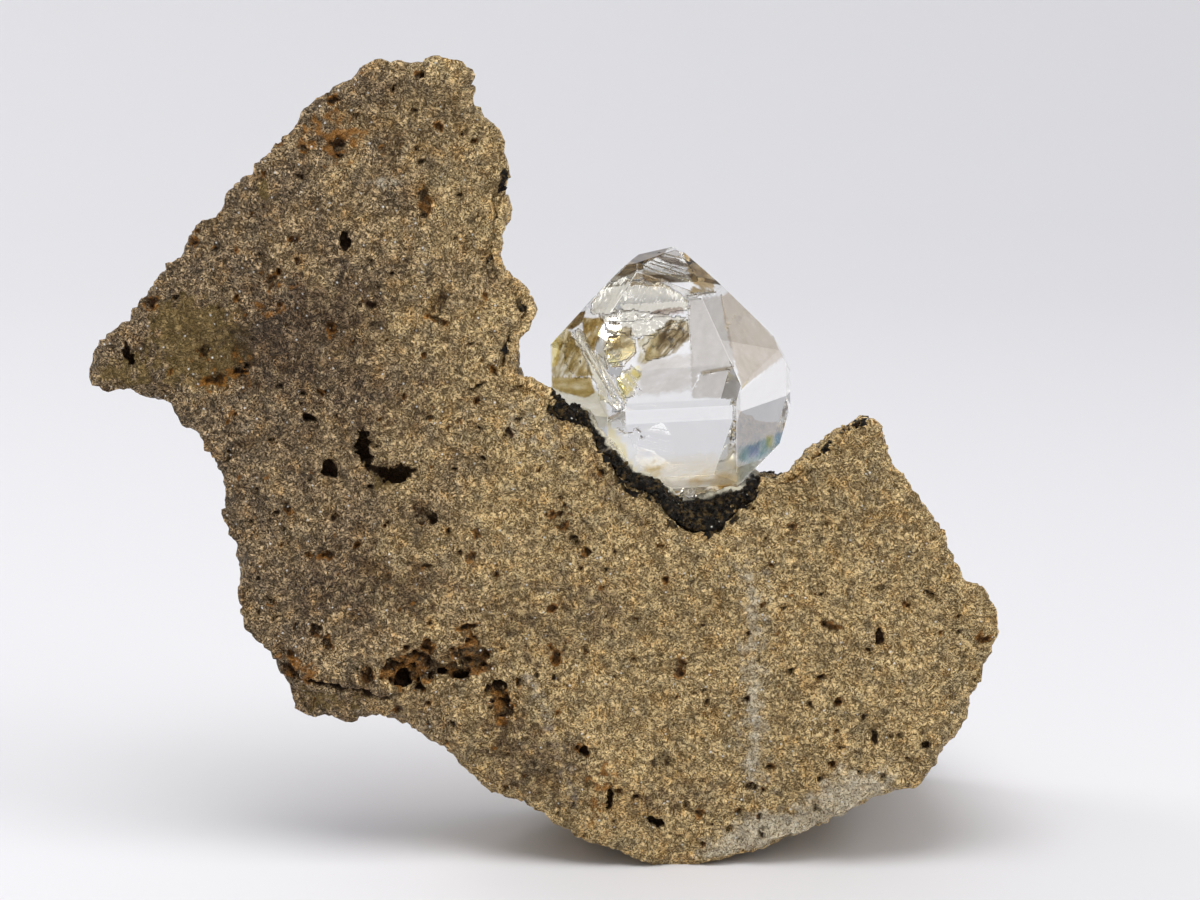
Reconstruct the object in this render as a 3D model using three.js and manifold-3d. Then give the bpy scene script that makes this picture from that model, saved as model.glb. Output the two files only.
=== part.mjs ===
// Herkimer diamond in its matrix: a clear, stubby quartz crystal that still sits in the notch
// of the sugary dolostone it grew in, with the black drusy lining of the old cavity under it.
// Millimetres, +Z up. The broad broken face of the rock looks towards -Y.

import * as THREE from 'three';
import { ConvexGeometry } from 'three/addons/geometries/ConvexGeometry.js';
import { ImprovedNoise } from 'three/addons/math/ImprovedNoise.js';
import { mergeVertices } from 'three/addons/utils/BufferGeometryUtils.js';
import Module from 'manifold-3d';

const wasm = await Module();
wasm.setup();

// Driving dimensions in millimetres.
const FACE_Y = -13.6;        // the plane that the broken face keeps to
const THIN_END = 7;          // thickness of the rock at its left end
const DEEPEST_Y = 13.4;      // the back keeps nearer than this, apart from its roughness
const JOINT_GAP = 0.3;       // clearance between the pieces
const EDGE_STEP = 2.1;       // longest stretch between two points of the rock's edge
const FACE_STEP = 1.55;      // spacing of the points on the broken face
const BACK_STEP = 2.3;       // spacing of the points on the back
const WALL_ROWS = 10;        // rings of facets from the face to the back
const CUT_BLOCK = [200, 200, 20];   // the block that cuts the resting spot flat

// The back is broken along three flats that meet in blunt ridges. Each goes through a point
// and leans by its slope for each millimetre along x, and by its lean for each one along z.
const LEFT_FLAT = { x: -22, slope: 0.42 };
const LOBE_FLAT = { x: -6, y: -4.1, z: 38, slope: 0.45, lean: -0.15 };
const RIGHT_FLAT = { x: 28, slope: -0.4 };

// Roughness, as layers of noise: height, size of the lumps, and the slice of noise each reads.
const FACE_ROUGHNESS = [
  { height: 0.9, size: 13, slice: 0 },
  { height: 0.5, size: 5, slice: 9 },
  { height: 0.35, size: 2.3, slice: 4 },
];
const BACK_ROUGHNESS = [
  { height: 1.1, size: 9, slice: 30 },
  { height: 0.6, size: 4, slice: 40 },
];
const EDGE_WANDER = [{ height: 1.3, size: 5, slice: 70 }];
const SIDE_LUMPS = [{ height: 1.7, size: 6 }, { height: 0.8, size: 2.6 }];
const SIDE_HOLLOW = 0.45;    // how far the sides draw in between their lumps

// The sides on their way back from the face: all fall, those that look up fall more, and the
// upright ones draw in. Under the crystal they stay level.
const FALL = 0.2;
const TOP_FALL = 0.12;
const DRAW_IN = 0.12;
const CRADLE = { left: 2, right: 16.5, bottom: 22 };

// The rock's edge in the plane of the broken face, as [x, z], clockwise from the left tip.
const ROCK_EDGE = [
  // left tip to the top of the tall lobe
  [-35.2, 39.8], [-34.8, 41.0], [-32.5, 43.2], [-30.0, 46.0], [-28.2, 48.6], [-26.5, 51.4],
  [-25.3, 52.4], [-23.8, 54.5], [-22.5, 55.0], [-20.7, 56.7], [-20.5, 57.5], [-19.6, 58.2],
  [-19.1, 59.5], [-18.2, 60.3], [-17.0, 60.5], [-15.9, 61.7], [-14.4, 61.7], [-13.9, 63.0],
  [-12.8, 63.5], [-9.6, 63.5], [-8.4, 63.9], [-6.6, 63.6], [-5.9, 63.0],
  // down the lobe's right side, which was the cavity wall
  [-4.9, 59.6], [-3.7, 59.0], [-2.9, 57.6], [-2.8, 56.1], [-2.3, 54.6], [-3.2, 53.0],
  [-3.8, 50.9], [-4.0, 48.8], [-3.5, 47.0], [-2.6, 46.4], [-1.2, 44.4], [-1.7, 43.5],
  [-2.6, 42.6], [-3.3, 40.5], [-3.1, 39.1], [-1.2, 38.6], [0.2, 37.8],
  // the notch that holds the crystal
  [1.4, 36.3], [2.6, 35.9], [4.6, 33.0], [6.0, 30.6], [8.4, 29.6], [9.4, 28.2], [10.5, 27.4],
  [12.2, 26.8], [13.3, 26.9], [14.6, 28.2], [14.9, 29.2], [15.9, 29.7], [16.0, 30.8],
  // up to the right horn and down the right side
  [17.4, 30.9], [19.8, 31.8], [20.9, 33.3], [22.1, 33.6], [22.8, 34.7], [24.7, 36.2],
  [25.3, 36.3], [26.1, 33.8], [26.9, 32.2], [27.9, 31.6], [28.2, 30.7], [30.7, 27.6],
  [31.1, 25.9], [32.2, 24.1], [32.8, 23.3], [34.4, 22.2], [35.2, 20.6], [35.0, 18.7],
  [34.2, 16.9], [33.9, 15.0], [33.4, 14.5], [33.2, 12.5], [32.3, 10.7], [31.3, 10.0],
  [29.4, 6.4], [27.9, 6.5], [25.7, 6.0], [20.8, 2.9],
  // the underside, right to left
  [15.9, 1.0], [12.0, 0.1], [8.5, -0.2], [5.9, 1.4], [2.6, 2.3], [0.4, 3.9], [-2.7, 5.5],
  [-5.6, 7.0], [-7.2, 8.8], [-11.9, 12.2], [-15.5, 11.9], [-18.7, 11.9], [-19.8, 12.6],
  // up the left side to the tip
  [-20.5, 15.0], [-21.4, 15.9], [-20.9, 17.1], [-23.6, 18.7], [-24.3, 21.7], [-23.8, 23.5],
  [-23.6, 25.5], [-24.5, 26.3], [-25.4, 28.5], [-24.8, 29.1], [-25.1, 31.2], [-25.4, 33.0],
  [-26.4, 34.2], [-26.7, 35.3], [-27.7, 35.2], [-28.7, 36.1], [-28.8, 36.9], [-29.8, 37.8],
  [-32.8, 37.9], [-34.4, 38.5],
];

// Folds of the broken face: left of the line from one end to the other it steps back by drop
// over the width run. Each end is [x, z].
const FACE_FOLDS = [
  { from: [3.5, 2.4], to: [-2.0, 15.9], drop: 1.1, run: 6.0 },     // ridge above the resting spot
  { from: [-11.0, 13.2], to: [-20.2, 15.4], drop: 1.2, run: 0.7 }, // plate under the left corner
  { from: [27.5, 33.0], to: [33.6, 21.0], drop: 1.2, run: 2.6 },   // bevel down the right side
  { from: [-4.2, 57.0], to: [-4.6, 46.5], drop: 1.3, run: 1.5 },   // edge of the old cavity
  { from: [-26.5, 35.5], to: [-23.5, 52.0], drop: 0.9, run: 7.0 }, // the left tip turns away
];
const FOLD_FADE = 3;         // a fold dies out over this length past its ends

// Pits in the broken face: centre [x, z], size [along, across], depth, and the turn of their
// long way from level, in degrees.
const FACE_PITS = [
  { at: [-15.2, 49.8], size: [2.0, 1.1], depth: 0.8, turn: 85 },
  { at: [-31.9, 41.0], size: [2.2, 1.2], depth: 0.9, turn: -70 },
  { at: [-13.8, 33.8], size: [3.4, 1.5], depth: 1.3, turn: 85 },   // upright arm of the L
  { at: [-11.7, 31.9], size: [3.0, 1.3], depth: 1.2, turn: 5 },    // level arm of the L
  { at: [-16.6, 32.0], size: [1.6, 0.9], depth: 0.8, turn: -60 },
  { at: [-9.2, 28.3], size: [1.7, 1.3], depth: 0.9, turn: 0 },
  { at: [-18.1, 36.0], size: [1.5, 1.0], depth: 0.7, turn: 0 },
  { at: [-14.6, 15.8], size: [3.2, 2.0], depth: 0.9, turn: 10 },   // rusty hollow, left end
  { at: [-11.4, 15.6], size: [3.8, 3.2], depth: 1.4, turn: -20 },
  { at: [-8.0, 15.8], size: [3.8, 2.0], depth: 1.2, turn: 0 },
  { at: [-5.6, 17.2], size: [2.6, 2.2], depth: 0.8, turn: 30 },    // rusty hollow, right end
  { at: [-3.9, 13.6], size: [2.8, 1.7], depth: 1.2, turn: 80 },
  { at: [2.9, 9.5], size: [1.6, 1.2], depth: 0.8, turn: 0 },
  { at: [4.9, 5.7], size: [2.2, 1.2], depth: 0.9, turn: 80 },
  { at: [8.7, 3.6], size: [1.5, 1.3], depth: 1.0, turn: 0 },
  { at: [26.0, 18.5], size: [1.6, 1.2], depth: 0.9, turn: 80 },
];

// The old cavity's black lining: how thick it stands on the rock at points along the rock's
// edge, from the tall lobe down through the notch to the right horn.
const LINING = [
  { at: [-3.2, 53.0], thick: 0.3 },
  { at: [-4.0, 48.8], thick: 0.6 },
  { at: [-2.6, 46.4], thick: 0.4 },
  { at: [-1.2, 44.4], thick: 0.6 },
  { at: [-2.6, 42.6], thick: 0.5 },
  { at: [-3.1, 39.1], thick: 0.5 },
  { at: [0.2, 37.8], thick: 0.6 },
  { at: [4.6, 33.0], thick: 1.2 },
  { at: [8.4, 29.6], thick: 0.8 },
  { at: [10.5, 27.4], thick: 1.6 },
  { at: [12.2, 26.8], thick: 1.9 },
  { at: [14.6, 28.2], thick: 1.9 },
  { at: [16.0, 30.8], thick: 0.8 },
  { at: [19.8, 31.8], thick: 0.4 },
  { at: [22.8, 34.7], thick: 0.4 },
  { at: [24.7, 36.2], thick: 0.3 },
];
const LINING_FROM = 0.04;    // share of the rock's thickness where the lining starts
const LINING_TO = 0.85;      // and where it ends, give or take its ragged edge
const LINING_RAGGED = { height: 0.25, size: 3, slice: 50 };
const LINING_LUMPS = { height: 0.35, size: 1.4 };
const LINING_LIMIT = 0.96;   // the lining stops short of the back
const LINING_ROWS = 7;

// The quartz crystal. Its axis leans towards the broken face. Each flat face is given by the
// turn of its normal from the front, its rise above level, and its distance from the centre.
const CRYSTAL_CENTRE = [9.4, -3.4, 36.1];
const CRYSTAL_TILT = 13;     // degrees that the top leans forward
const CRYSTAL_ROLL = -1;
const CRYSTAL_SPIN = 5;
const RHOMB = 38.2;          // rise of the rhombohedral faces above level
const CRYSTAL_FACES = [
  // six prism faces
  [0, 0, 8.6], [60, 0, 8.25], [120, 0, 9.1], [180, 0, 8.7], [240, 0, 7.05], [300, 0, 9.05],
  // upper rhombohedron
  [0, RHOMB, 8.5], [60, RHOMB, 8.85], [120, RHOMB, 8.45], [180, RHOMB, 8.5],
  [240, RHOMB, 8.95], [300, RHOMB, 10.5],
  // lower rhombohedron
  [0, -RHOMB, 9.4], [60, -RHOMB, 9.25], [120, -RHOMB, 9.35], [180, -RHOMB, 9.0],
  [240, -RHOMB, 9.0], [300, -RHOMB, 9.0],
  // narrow steep faces between them
  [0, 16, 8.95], [324, 24.4, 10.15], [88, 22, 9.6], [88, -24, 10.0],
  // small faces that close the top
  [318, 50, 10.6], [12, 54, 9.95], [72, 50, 9.9], [225, 72, 11.4], [120, 63, 11.15],
  // the end that grew against the lining
  [0, -90, 7.4],
];

// Small tools.

const perlin = new ImprovedNoise();
const rough = (x, y, z, size) => perlin.noise(x / size + 11.3, y / size + 5.7, z / size + 8.1);
const clamp01 = (value) => Math.min(1, Math.max(0, value));
const smooth = (value) => clamp01(value) ** 2 * (3 - 2 * clamp01(value));
const radians = THREE.MathUtils.degToRad;
// the sum of layers of noise at a point of a sheet
const layered = (layers, x, z) =>
  layers.reduce((sum, layer) => sum + layer.height * rough(x, layer.slice, z, layer.size), 0);

// A repeatable stream of numbers between 0 and 1.
function dice(seed) {
  let state = seed;
  return () => {
    state = (Math.imul(state, 1664525) + 1013904223) >>> 0;
    return state / 4294967296;
  };
}

function inside([x, z], ring) {
  let odd = false;
  ring.forEach(([x1, z1], i) => {
    const [x2, z2] = ring[(i + 1) % ring.length];
    if (z1 > z !== z2 > z && x < x1 + ((z - z1) / (z2 - z1)) * (x2 - x1)) odd = !odd;
  });
  return odd;
}

// Triangles between points [x, z] that leave no point inside another triangle's circle
// (Bowyer and Watson's way), each anticlockwise.
function delaunay(points) {
  const far = 5000;
  const all = [...points, [-far, -far], [far, -far], [0, far]];
  const n = points.length;
  const withCircle = (a, b, c) => {
    const [ax, az] = all[a];
    const [bx, bz] = [all[b][0] - ax, all[b][1] - az];
    const [cx, cz] = [all[c][0] - ax, all[c][1] - az];
    const double = 2 * (bx * cz - bz * cx);
    const ux = (cz * (bx * bx + bz * bz) - bz * (cx * cx + cz * cz)) / double;
    const uz = (bx * (cx * cx + cz * cz) - cx * (bx * bx + bz * bz)) / double;
    return { corners: [a, b, c], x: ax + ux, z: az + uz, r2: ux * ux + uz * uz };
  };
  let triangles = [withCircle(n, n + 1, n + 2)];
  points.forEach(([px, pz], p) => {
    const open = new Map();
    const kept = [];
    for (const t of triangles) {
      if ((px - t.x) ** 2 + (pz - t.z) ** 2 >= t.r2) {
        kept.push(t);
        continue;
      }
      const [a, b, c] = t.corners;
      for (const [from, to] of [[a, b], [b, c], [c, a]]) {
        if (!open.delete(`${to} ${from}`)) open.set(`${from} ${to}`, [from, to]);
      }
    }
    for (const [from, to] of open.values()) kept.push(withCircle(from, to, p));
    triangles = kept;
  });
  return triangles.map((t) => t.corners).filter((t) => t.every((corner) => corner < n));
}

// A flat sheet inside a ring of points: [points, triangles]. The ring's points come first, then
// a jittered triangular lattice, kept clear of the ring and of any extra points.
function sheet(ring, spacing, extra, seed) {
  const random = dice(seed);
  const points = [...ring, ...extra];
  const clear = ([x, z], others, distance) =>
    others.every(([ox, oz]) => Math.hypot(ox - x, oz - z) > distance);
  const xs = ring.map((p) => p[0]);
  const zs = ring.map((p) => p[1]);
  const rowStep = spacing * Math.sqrt(0.75);
  let odd = false;
  for (let z = Math.min(...zs); z < Math.max(...zs); z += rowStep) {
    for (let x = Math.min(...xs) + (odd ? spacing / 2 : 0); x < Math.max(...xs); x += spacing) {
      const spot = [x + (random() - 0.5) * 0.5 * spacing, z + (random() - 0.5) * 0.5 * spacing];
      const free = clear(spot, ring, 0.7 * spacing) && clear(spot, extra, 0.6 * spacing);
      if (free && inside(spot, ring)) points.push(spot);
    }
    odd = !odd;
  }
  const centre = (t, axis) => (points[t[0]][axis] + points[t[1]][axis] + points[t[2]][axis]) / 3;
  const triangles = delaunay(points).filter((t) => inside([centre(t, 0), centre(t, 1)], ring));
  return [points, triangles];
}

function solidOf(geometry) {
  const bare = geometry.clone();
  bare.deleteAttribute('normal');
  bare.deleteAttribute('uv');
  const merged = mergeVertices(bare, 1e-4);
  const vertProperties = new Float32Array(merged.attributes.position.array);
  const triVerts = new Uint32Array(merged.index.array);
  return new wasm.Manifold(new wasm.Mesh({ numProp: 3, vertProperties, triVerts }));
}

function geometryOf(solid) {
  const mesh = solid.getMesh();
  const geometry = new THREE.BufferGeometry();
  geometry.setAttribute('position', new THREE.BufferAttribute(mesh.vertProperties, 3));
  geometry.setIndex(new THREE.BufferAttribute(mesh.triVerts, 1));
  geometry.computeVertexNormals();
  return geometry;
}

function geometryFrom(points, triangles) {
  const geometry = new THREE.BufferGeometry();
  geometry.setAttribute('position', new THREE.Float32BufferAttribute(points.flat(), 3));
  geometry.setIndex(triangles.flat());
  return geometry;
}

// The rock's edge ring, with long stretches divided and nudged off the straight line.
function edgeRing() {
  const ring = [];
  ROCK_EDGE.forEach(([x1, z1], i) => {
    const [x2, z2] = ROCK_EDGE[(i + 1) % ROCK_EDGE.length];
    const length = Math.hypot(x2 - x1, z2 - z1);
    const parts = Math.ceil(length / EDGE_STEP);
    for (let k = 0; k < parts; k += 1) {
      const share = k / parts;
      const nudge = k === 0 ? 0 : 0.35 * rough(x1 + k, 0, z1, 1.7);
      const x = x1 + (x2 - x1) * share - ((z2 - z1) / length) * nudge;
      const z = z1 + (z2 - z1) * share + ((x2 - x1) / length) * nudge;
      ring.push([x, z]);
    }
  });
  return ring;
}

// Mean of a list of [x, z] over its neighbours along the ring.
function averaged(list, reach) {
  return list.map((_, i) => {
    const sum = [0, 0];
    for (let k = -reach; k <= reach; k += 1) {
      const [x, z] = list[(i + k + list.length) % list.length];
      sum[0] += x;
      sum[1] += z;
    }
    return sum.map((part) => part / (2 * reach + 1));
  });
}

const RING = edgeRing();
// outward direction of each ring point in the face plane
const OUTWARD = averaged(RING.map((point, i) => {
  const before = RING[(i + RING.length - 1) % RING.length];
  const after = RING[(i + 1) % RING.length];
  const [dx, dz] = [after[0] - before[0], after[1] - before[1]];
  const length = Math.hypot(dx, dz);
  return [-dz / length, dx / length];
}), 1);

// How far the broken face stands back from its plane.
function faceRecess(x, z) {
  let recess = layered(FACE_ROUGHNESS, x, z);
  for (const fold of FACE_FOLDS) {
    const [dx, dz] = [fold.to[0] - fold.from[0], fold.to[1] - fold.from[1]];
    const length = Math.hypot(dx, dz);
    const along = ((x - fold.from[0]) * dx + (z - fold.from[1]) * dz) / length;
    const past = ((z - fold.from[1]) * dx - (x - fold.from[0]) * dz) / length;
    const fade = smooth((along + FOLD_FADE) / FOLD_FADE)
      * smooth((length + FOLD_FADE - along) / FOLD_FADE);
    recess += fold.drop * smooth(past / fold.run) * fade;
  }
  for (const pit of FACE_PITS) {
    const turn = radians(pit.turn);
    const [dx, dz] = [x - pit.at[0], z - pit.at[1]];
    const along = (dx * Math.cos(turn) + dz * Math.sin(turn)) / (pit.size[0] / 2);
    const across = (dz * Math.cos(turn) - dx * Math.sin(turn)) / (pit.size[1] / 2);
    recess += pit.depth * smooth(1.6 - 1.3 * Math.hypot(along, across));
  }
  return recess;
}

// Points that hold the form of the pits: the centre, and a ring inside the rim and one on it.
function pitPoints() {
  const spots = [];
  for (const pit of FACE_PITS) {
    const turn = radians(pit.turn);
    spots.push(pit.at);
    for (const [share, count] of [[0.5, 6], [1.15, 9]]) {
      for (let k = 0; k < count; k += 1) {
        const angle = (k / count) * 2 * Math.PI;
        const along = (Math.cos(angle) * share * pit.size[0]) / 2;
        const across = (Math.sin(angle) * share * pit.size[1]) / 2;
        spots.push([
          pit.at[0] + along * Math.cos(turn) - across * Math.sin(turn),
          pit.at[1] + along * Math.sin(turn) + across * Math.cos(turn),
        ]);
      }
    }
  }
  const apart = 0.42;
  return spots.filter(([x, z], i) => inside([x, z], RING)
    && RING.every(([rx, rz]) => Math.hypot(rx - x, rz - z) > apart)
    && spots.slice(0, i).every(([ox, oz]) => Math.hypot(ox - x, oz - z) > apart));
}

// Where the back is, seen through the rock from the face.
function backY(x, z) {
  const left = FACE_Y + THIN_END + LEFT_FLAT.slope * Math.max(0, x - LEFT_FLAT.x);
  const lobe = LOBE_FLAT.y + LOBE_FLAT.lean * (z - LOBE_FLAT.z)
    + LOBE_FLAT.slope * Math.max(0, x - LOBE_FLAT.x);
  const right = DEEPEST_Y + RIGHT_FLAT.slope * (x - RIGHT_FLAT.x);
  return Math.min(left, lobe, right, DEEPEST_Y) + layered(BACK_ROUGHNESS, x, z);
}

// The back's edge is rounder than the face's, and is led away from it by the fall of the sides.
const ROUNDED = averaged(RING, 3);
const BACK_RING = averaged(RING.map(([x, z], i) => {
  const [nx, nz] = OUTWARD[i];
  const cradle = smooth((x - CRADLE.left) / 3) * smooth((CRADLE.right - x) / 2)
    * smooth((z - CRADLE.bottom) / 4);
  const fall = FALL + TOP_FALL * Math.max(0, nz);
  const drawIn = nz > -0.3 ? DRAW_IN * nx : 0;
  return [-drawIn, -fall * (1 - cradle)];
}), 4).map(([leanX, leanZ], i) => {
  const [x, z] = ROUNDED[i];
  const depth = backY(x, z) - FACE_Y;
  const wander = layered(EDGE_WANDER, x, z);
  return [x + leanX * depth + OUTWARD[i][0] * wander, z + leanZ * depth + OUTWARD[i][1] * wander];
});

// A point of the rock's side: ring index, and share of the way from the face to the back.
function sidePoint(i, share) {
  const [x, z] = RING[i];
  const [bx, bz] = BACK_RING[i];
  const [nx, nz] = OUTWARD[i];
  const front = FACE_Y + faceRecess(x, z);
  const y = front + (backY(bx, bz) - front) * share;
  const middle = Math.sin(Math.PI * share) ** 0.7;
  const lumps = SIDE_LUMPS.map(({ height, size }) => height * rough(x, y, z, size));
  const swell = middle * (lumps[0] + lumps[1] - SIDE_HOLLOW);
  return [x + (bx - x) * share + nx * swell, y, z + (bz - z) * share + nz * swell];
}

// The rock: face sheet, back sheet and rings of facets between them.
function rockSolid() {
  const [face, faceTriangles] = sheet(RING, FACE_STEP, pitPoints(), 3);
  const [back, backTriangles] = sheet(BACK_RING, BACK_STEP, [], 8);
  const n = RING.length;
  const points = face.map(([x, z]) => [x, FACE_Y + faceRecess(x, z), z]);
  const triangles = faceTriangles.map((t) => [...t]);
  let ringStart = 0;
  for (let row = 1; row <= WALL_ROWS; row += 1) {
    const nextStart = points.length;
    for (let i = 0; i < n; i += 1) points.push(sidePoint(i, row / WALL_ROWS));
    for (let i = 0; i < n; i += 1) {
      const j = (i + 1) % n;
      triangles.push([ringStart + i, ringStart + j, nextStart + i]);
      triangles.push([ringStart + j, nextStart + j, nextStart + i]);
    }
    ringStart = nextStart;
  }
  const backStart = points.length;
  for (const [x, z] of back.slice(n)) points.push([x, backY(x, z), z]);
  const backIndex = (corner) => (corner < n ? ringStart + corner : backStart + corner - n);
  for (const [a, b, c] of backTriangles) triangles.push([backIndex(a), backIndex(c), backIndex(b)]);
  return solidOf(geometryFrom(points, triangles));
}

// The crystal's flat faces meet in corners; its solid is the convex hull of the corners. All
// faces can be moved outwards by a clearance, for the socket it sits in.
function crystalSolid(clearance) {
  const pose = new THREE.Matrix4().makeRotationY(radians(CRYSTAL_ROLL))
    .multiply(new THREE.Matrix4().makeRotationX(radians(CRYSTAL_TILT)))
    .multiply(new THREE.Matrix4().makeRotationZ(radians(CRYSTAL_SPIN)));
  const planes = CRYSTAL_FACES.map(([turn, rise, distance]) => {
    const level = Math.cos(radians(rise));
    const normal = new THREE.Vector3(
      Math.sin(radians(turn)) * level, -Math.cos(radians(turn)) * level, Math.sin(radians(rise)),
    ).applyMatrix4(pose);
    return { normal, distance: distance + clearance };
  });
  const corners = [];
  const system = new THREE.Matrix3();
  for (let a = 0; a < planes.length; a += 1) {
    for (let b = a + 1; b < planes.length; b += 1) {
      for (let c = b + 1; c < planes.length; c += 1) {
        const [p, q, r] = [planes[a], planes[b], planes[c]];
        system.set(...p.normal.toArray(), ...q.normal.toArray(), ...r.normal.toArray());
        if (Math.abs(system.determinant()) < 1e-6) continue;
        const corner = new THREE.Vector3(p.distance, q.distance, r.distance)
          .applyMatrix3(system.clone().invert());
        const kept = planes.every((plane) => plane.normal.dot(corner) < plane.distance + 1e-6);
        const fresh = corners.every((other) => other.distanceTo(corner) > 0.02);
        if (kept && fresh) corners.push(corner);
      }
    }
  }
  const place = new THREE.Vector3(...CRYSTAL_CENTRE);
  return solidOf(new ConvexGeometry(corners.map((corner) => corner.add(place))));
}

// The black lining: a lumpy strip that follows the rock's side through the notch.
function liningSolid() {
  const nearest = ([x, z]) => {
    const gaps = RING.map(([rx, rz]) => Math.hypot(rx - x, rz - z));
    return gaps.indexOf(Math.min(...gaps));
  };
  const knots = LINING.map(({ at, thick }) => ({ index: nearest(at), thick }));
  const thickness = (i) => {
    const k = Math.max(1, knots.findIndex((knot) => knot.index >= i));
    const [low, high] = [knots[k - 1], knots[k]];
    return low.thick + ((high.thick - low.thick) * (i - low.index)) / (high.index - low.index);
  };
  const first = knots[0].index;
  const last = knots[knots.length - 1].index;
  const points = [];
  const rows = LINING_ROWS + 1;
  for (let i = first; i <= last; i += 1) {
    const [nx, nz] = OUTWARD[i];
    const end = Math.min(LINING_LIMIT, LINING_TO + layered([LINING_RAGGED], ...RING[i]));
    for (let row = 0; row < rows; row += 1) {
      const share = LINING_FROM + ((end - LINING_FROM) * row) / LINING_ROWS;
      const [x, y, z] = sidePoint(i, share);
      const ends = Math.min(1, 0.35 + 0.65 * row, 0.35 + 0.4 * (LINING_ROWS - row));
      const lump = 1 + LINING_LUMPS.height * rough(x, y, z, LINING_LUMPS.size);
      const outer = JOINT_GAP + thickness(i) * ends * lump;
      points.push([x + nx * JOINT_GAP, y, z + nz * JOINT_GAP]);
      points.push([x + nx * outer, y, z + nz * outer]);
    }
  }
  const at = (i, row, side) => ((i - first) * rows + row) * 2 + side;
  const triangles = [];
  const quad = (a, b, c, d) => triangles.push([a, b, c], [a, c, d]);
  for (let i = first; i < last; i += 1) {
    for (let row = 0; row < LINING_ROWS; row += 1) {
      quad(at(i, row, 1), at(i + 1, row, 1), at(i + 1, row + 1, 1), at(i, row + 1, 1));
      quad(at(i, row, 0), at(i, row + 1, 0), at(i + 1, row + 1, 0), at(i + 1, row, 0));
    }
    quad(at(i, 0, 0), at(i + 1, 0, 0), at(i + 1, 0, 1), at(i, 0, 1));
    quad(at(i, LINING_ROWS, 0), at(i, LINING_ROWS, 1), at(i + 1, LINING_ROWS, 1),
      at(i + 1, LINING_ROWS, 0));
  }
  for (let row = 0; row < LINING_ROWS; row += 1) {
    quad(at(first, row, 0), at(first, row, 1), at(first, row + 1, 1), at(first, row + 1, 0));
    quad(at(last, row, 0), at(last, row + 1, 0), at(last, row + 1, 1), at(last, row, 1));
  }
  return solidOf(geometryFrom(points, triangles));
}

// What is left of a solid when another is cut from it, with a clearance each way.
function clearOf(solid, other, clearance) {
  const ways = [[1, 0, 0], [-1, 0, 0], [0, 1, 0], [0, -1, 0], [0, 0, 1], [0, 0, -1]];
  return ways
    .map((way) => other.translate(way.map((part) => part * clearance)))
    .reduce((rest, moved) => rest.subtract(moved), solid);
}

// The largest connected lump of a solid, without the crumbs that a cut leaves.
function mainLump(solid) {
  const lumps = solid.decompose();
  return lumps.reduce((best, lump) => (lump.volume() > best.volume() ? lump : best));
}

// Assembly.

const socket = crystalSolid(JOINT_GAP);
const below = new THREE.BoxGeometry(...CUT_BLOCK).translate(0, 0, -CUT_BLOCK[2] / 2);
const rock = mainLump(rockSolid().subtract(solidOf(below)).subtract(socket));

const dolostone = new THREE.Mesh(
  geometryOf(rock),
  new THREE.MeshStandardMaterial({ color: 0x7d6a4e, roughness: 0.9, metalness: 0 }),
);
dolostone.name = 'dolostone_matrix';

const lining = new THREE.Mesh(
  geometryOf(mainLump(clearOf(liningSolid().subtract(socket), rock, JOINT_GAP / 2))),
  new THREE.MeshStandardMaterial({ color: 0x1b170f, roughness: 0.45, metalness: 0 }),
);
lining.name = 'vug_crust';

const crystal = new THREE.Mesh(
  geometryOf(crystalSolid(0)),
  new THREE.MeshStandardMaterial({
    color: 0xeae8e0, roughness: 0.05, metalness: 0, transparent: true, opacity: 0.4,
  }),
);
crystal.name = 'quartz_crystal';

const herkimer = new THREE.Group();
herkimer.add(dolostone, lining, crystal);

// Origin: the middle of the overall box, on the surface that the specimen rests on.
const extent = new THREE.Box3().setFromObject(herkimer);
const middle = extent.getCenter(new THREE.Vector3());
herkimer.position.set(-middle.x, -middle.y, -extent.min.z);

export default herkimer;
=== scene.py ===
"""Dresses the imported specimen: a clear quartz crystal in the notch of a loose slab of sugary
dolostone, with the black druse of the old cavity between them. Metres, +Z up."""

import math
import random

import bmesh
import bpy
import numpy as np
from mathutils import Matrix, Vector, noise
from mathutils.bvhtree import BVHTree


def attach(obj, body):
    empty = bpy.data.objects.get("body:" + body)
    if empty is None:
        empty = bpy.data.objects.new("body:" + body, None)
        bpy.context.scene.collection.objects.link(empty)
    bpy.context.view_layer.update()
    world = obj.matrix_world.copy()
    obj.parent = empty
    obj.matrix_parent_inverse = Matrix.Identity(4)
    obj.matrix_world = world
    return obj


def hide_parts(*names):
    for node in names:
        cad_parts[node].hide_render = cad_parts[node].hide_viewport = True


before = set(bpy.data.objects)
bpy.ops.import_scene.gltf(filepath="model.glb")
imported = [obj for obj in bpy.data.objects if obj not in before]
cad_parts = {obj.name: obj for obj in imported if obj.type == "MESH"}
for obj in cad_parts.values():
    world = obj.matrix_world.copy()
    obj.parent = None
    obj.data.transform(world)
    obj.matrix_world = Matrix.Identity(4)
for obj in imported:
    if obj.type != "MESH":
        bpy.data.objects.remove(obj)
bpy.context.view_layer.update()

# ---------------------------------------------------------------------------------------------
# The camera looks squarely at the broken face of the slab, from a little above, through a long
# lens, and takes in a hand's breadth of table on each side.

MM = 0.001
AIM = Vector((4.13, -13.6, 33.6)) * MM
CAMERA_RISE = math.radians(12)
LENS = 120.0
SENSOR = 36.0
VIEW_WIDTH = 92.3 * MM       # what the picture spans at the broken face

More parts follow.
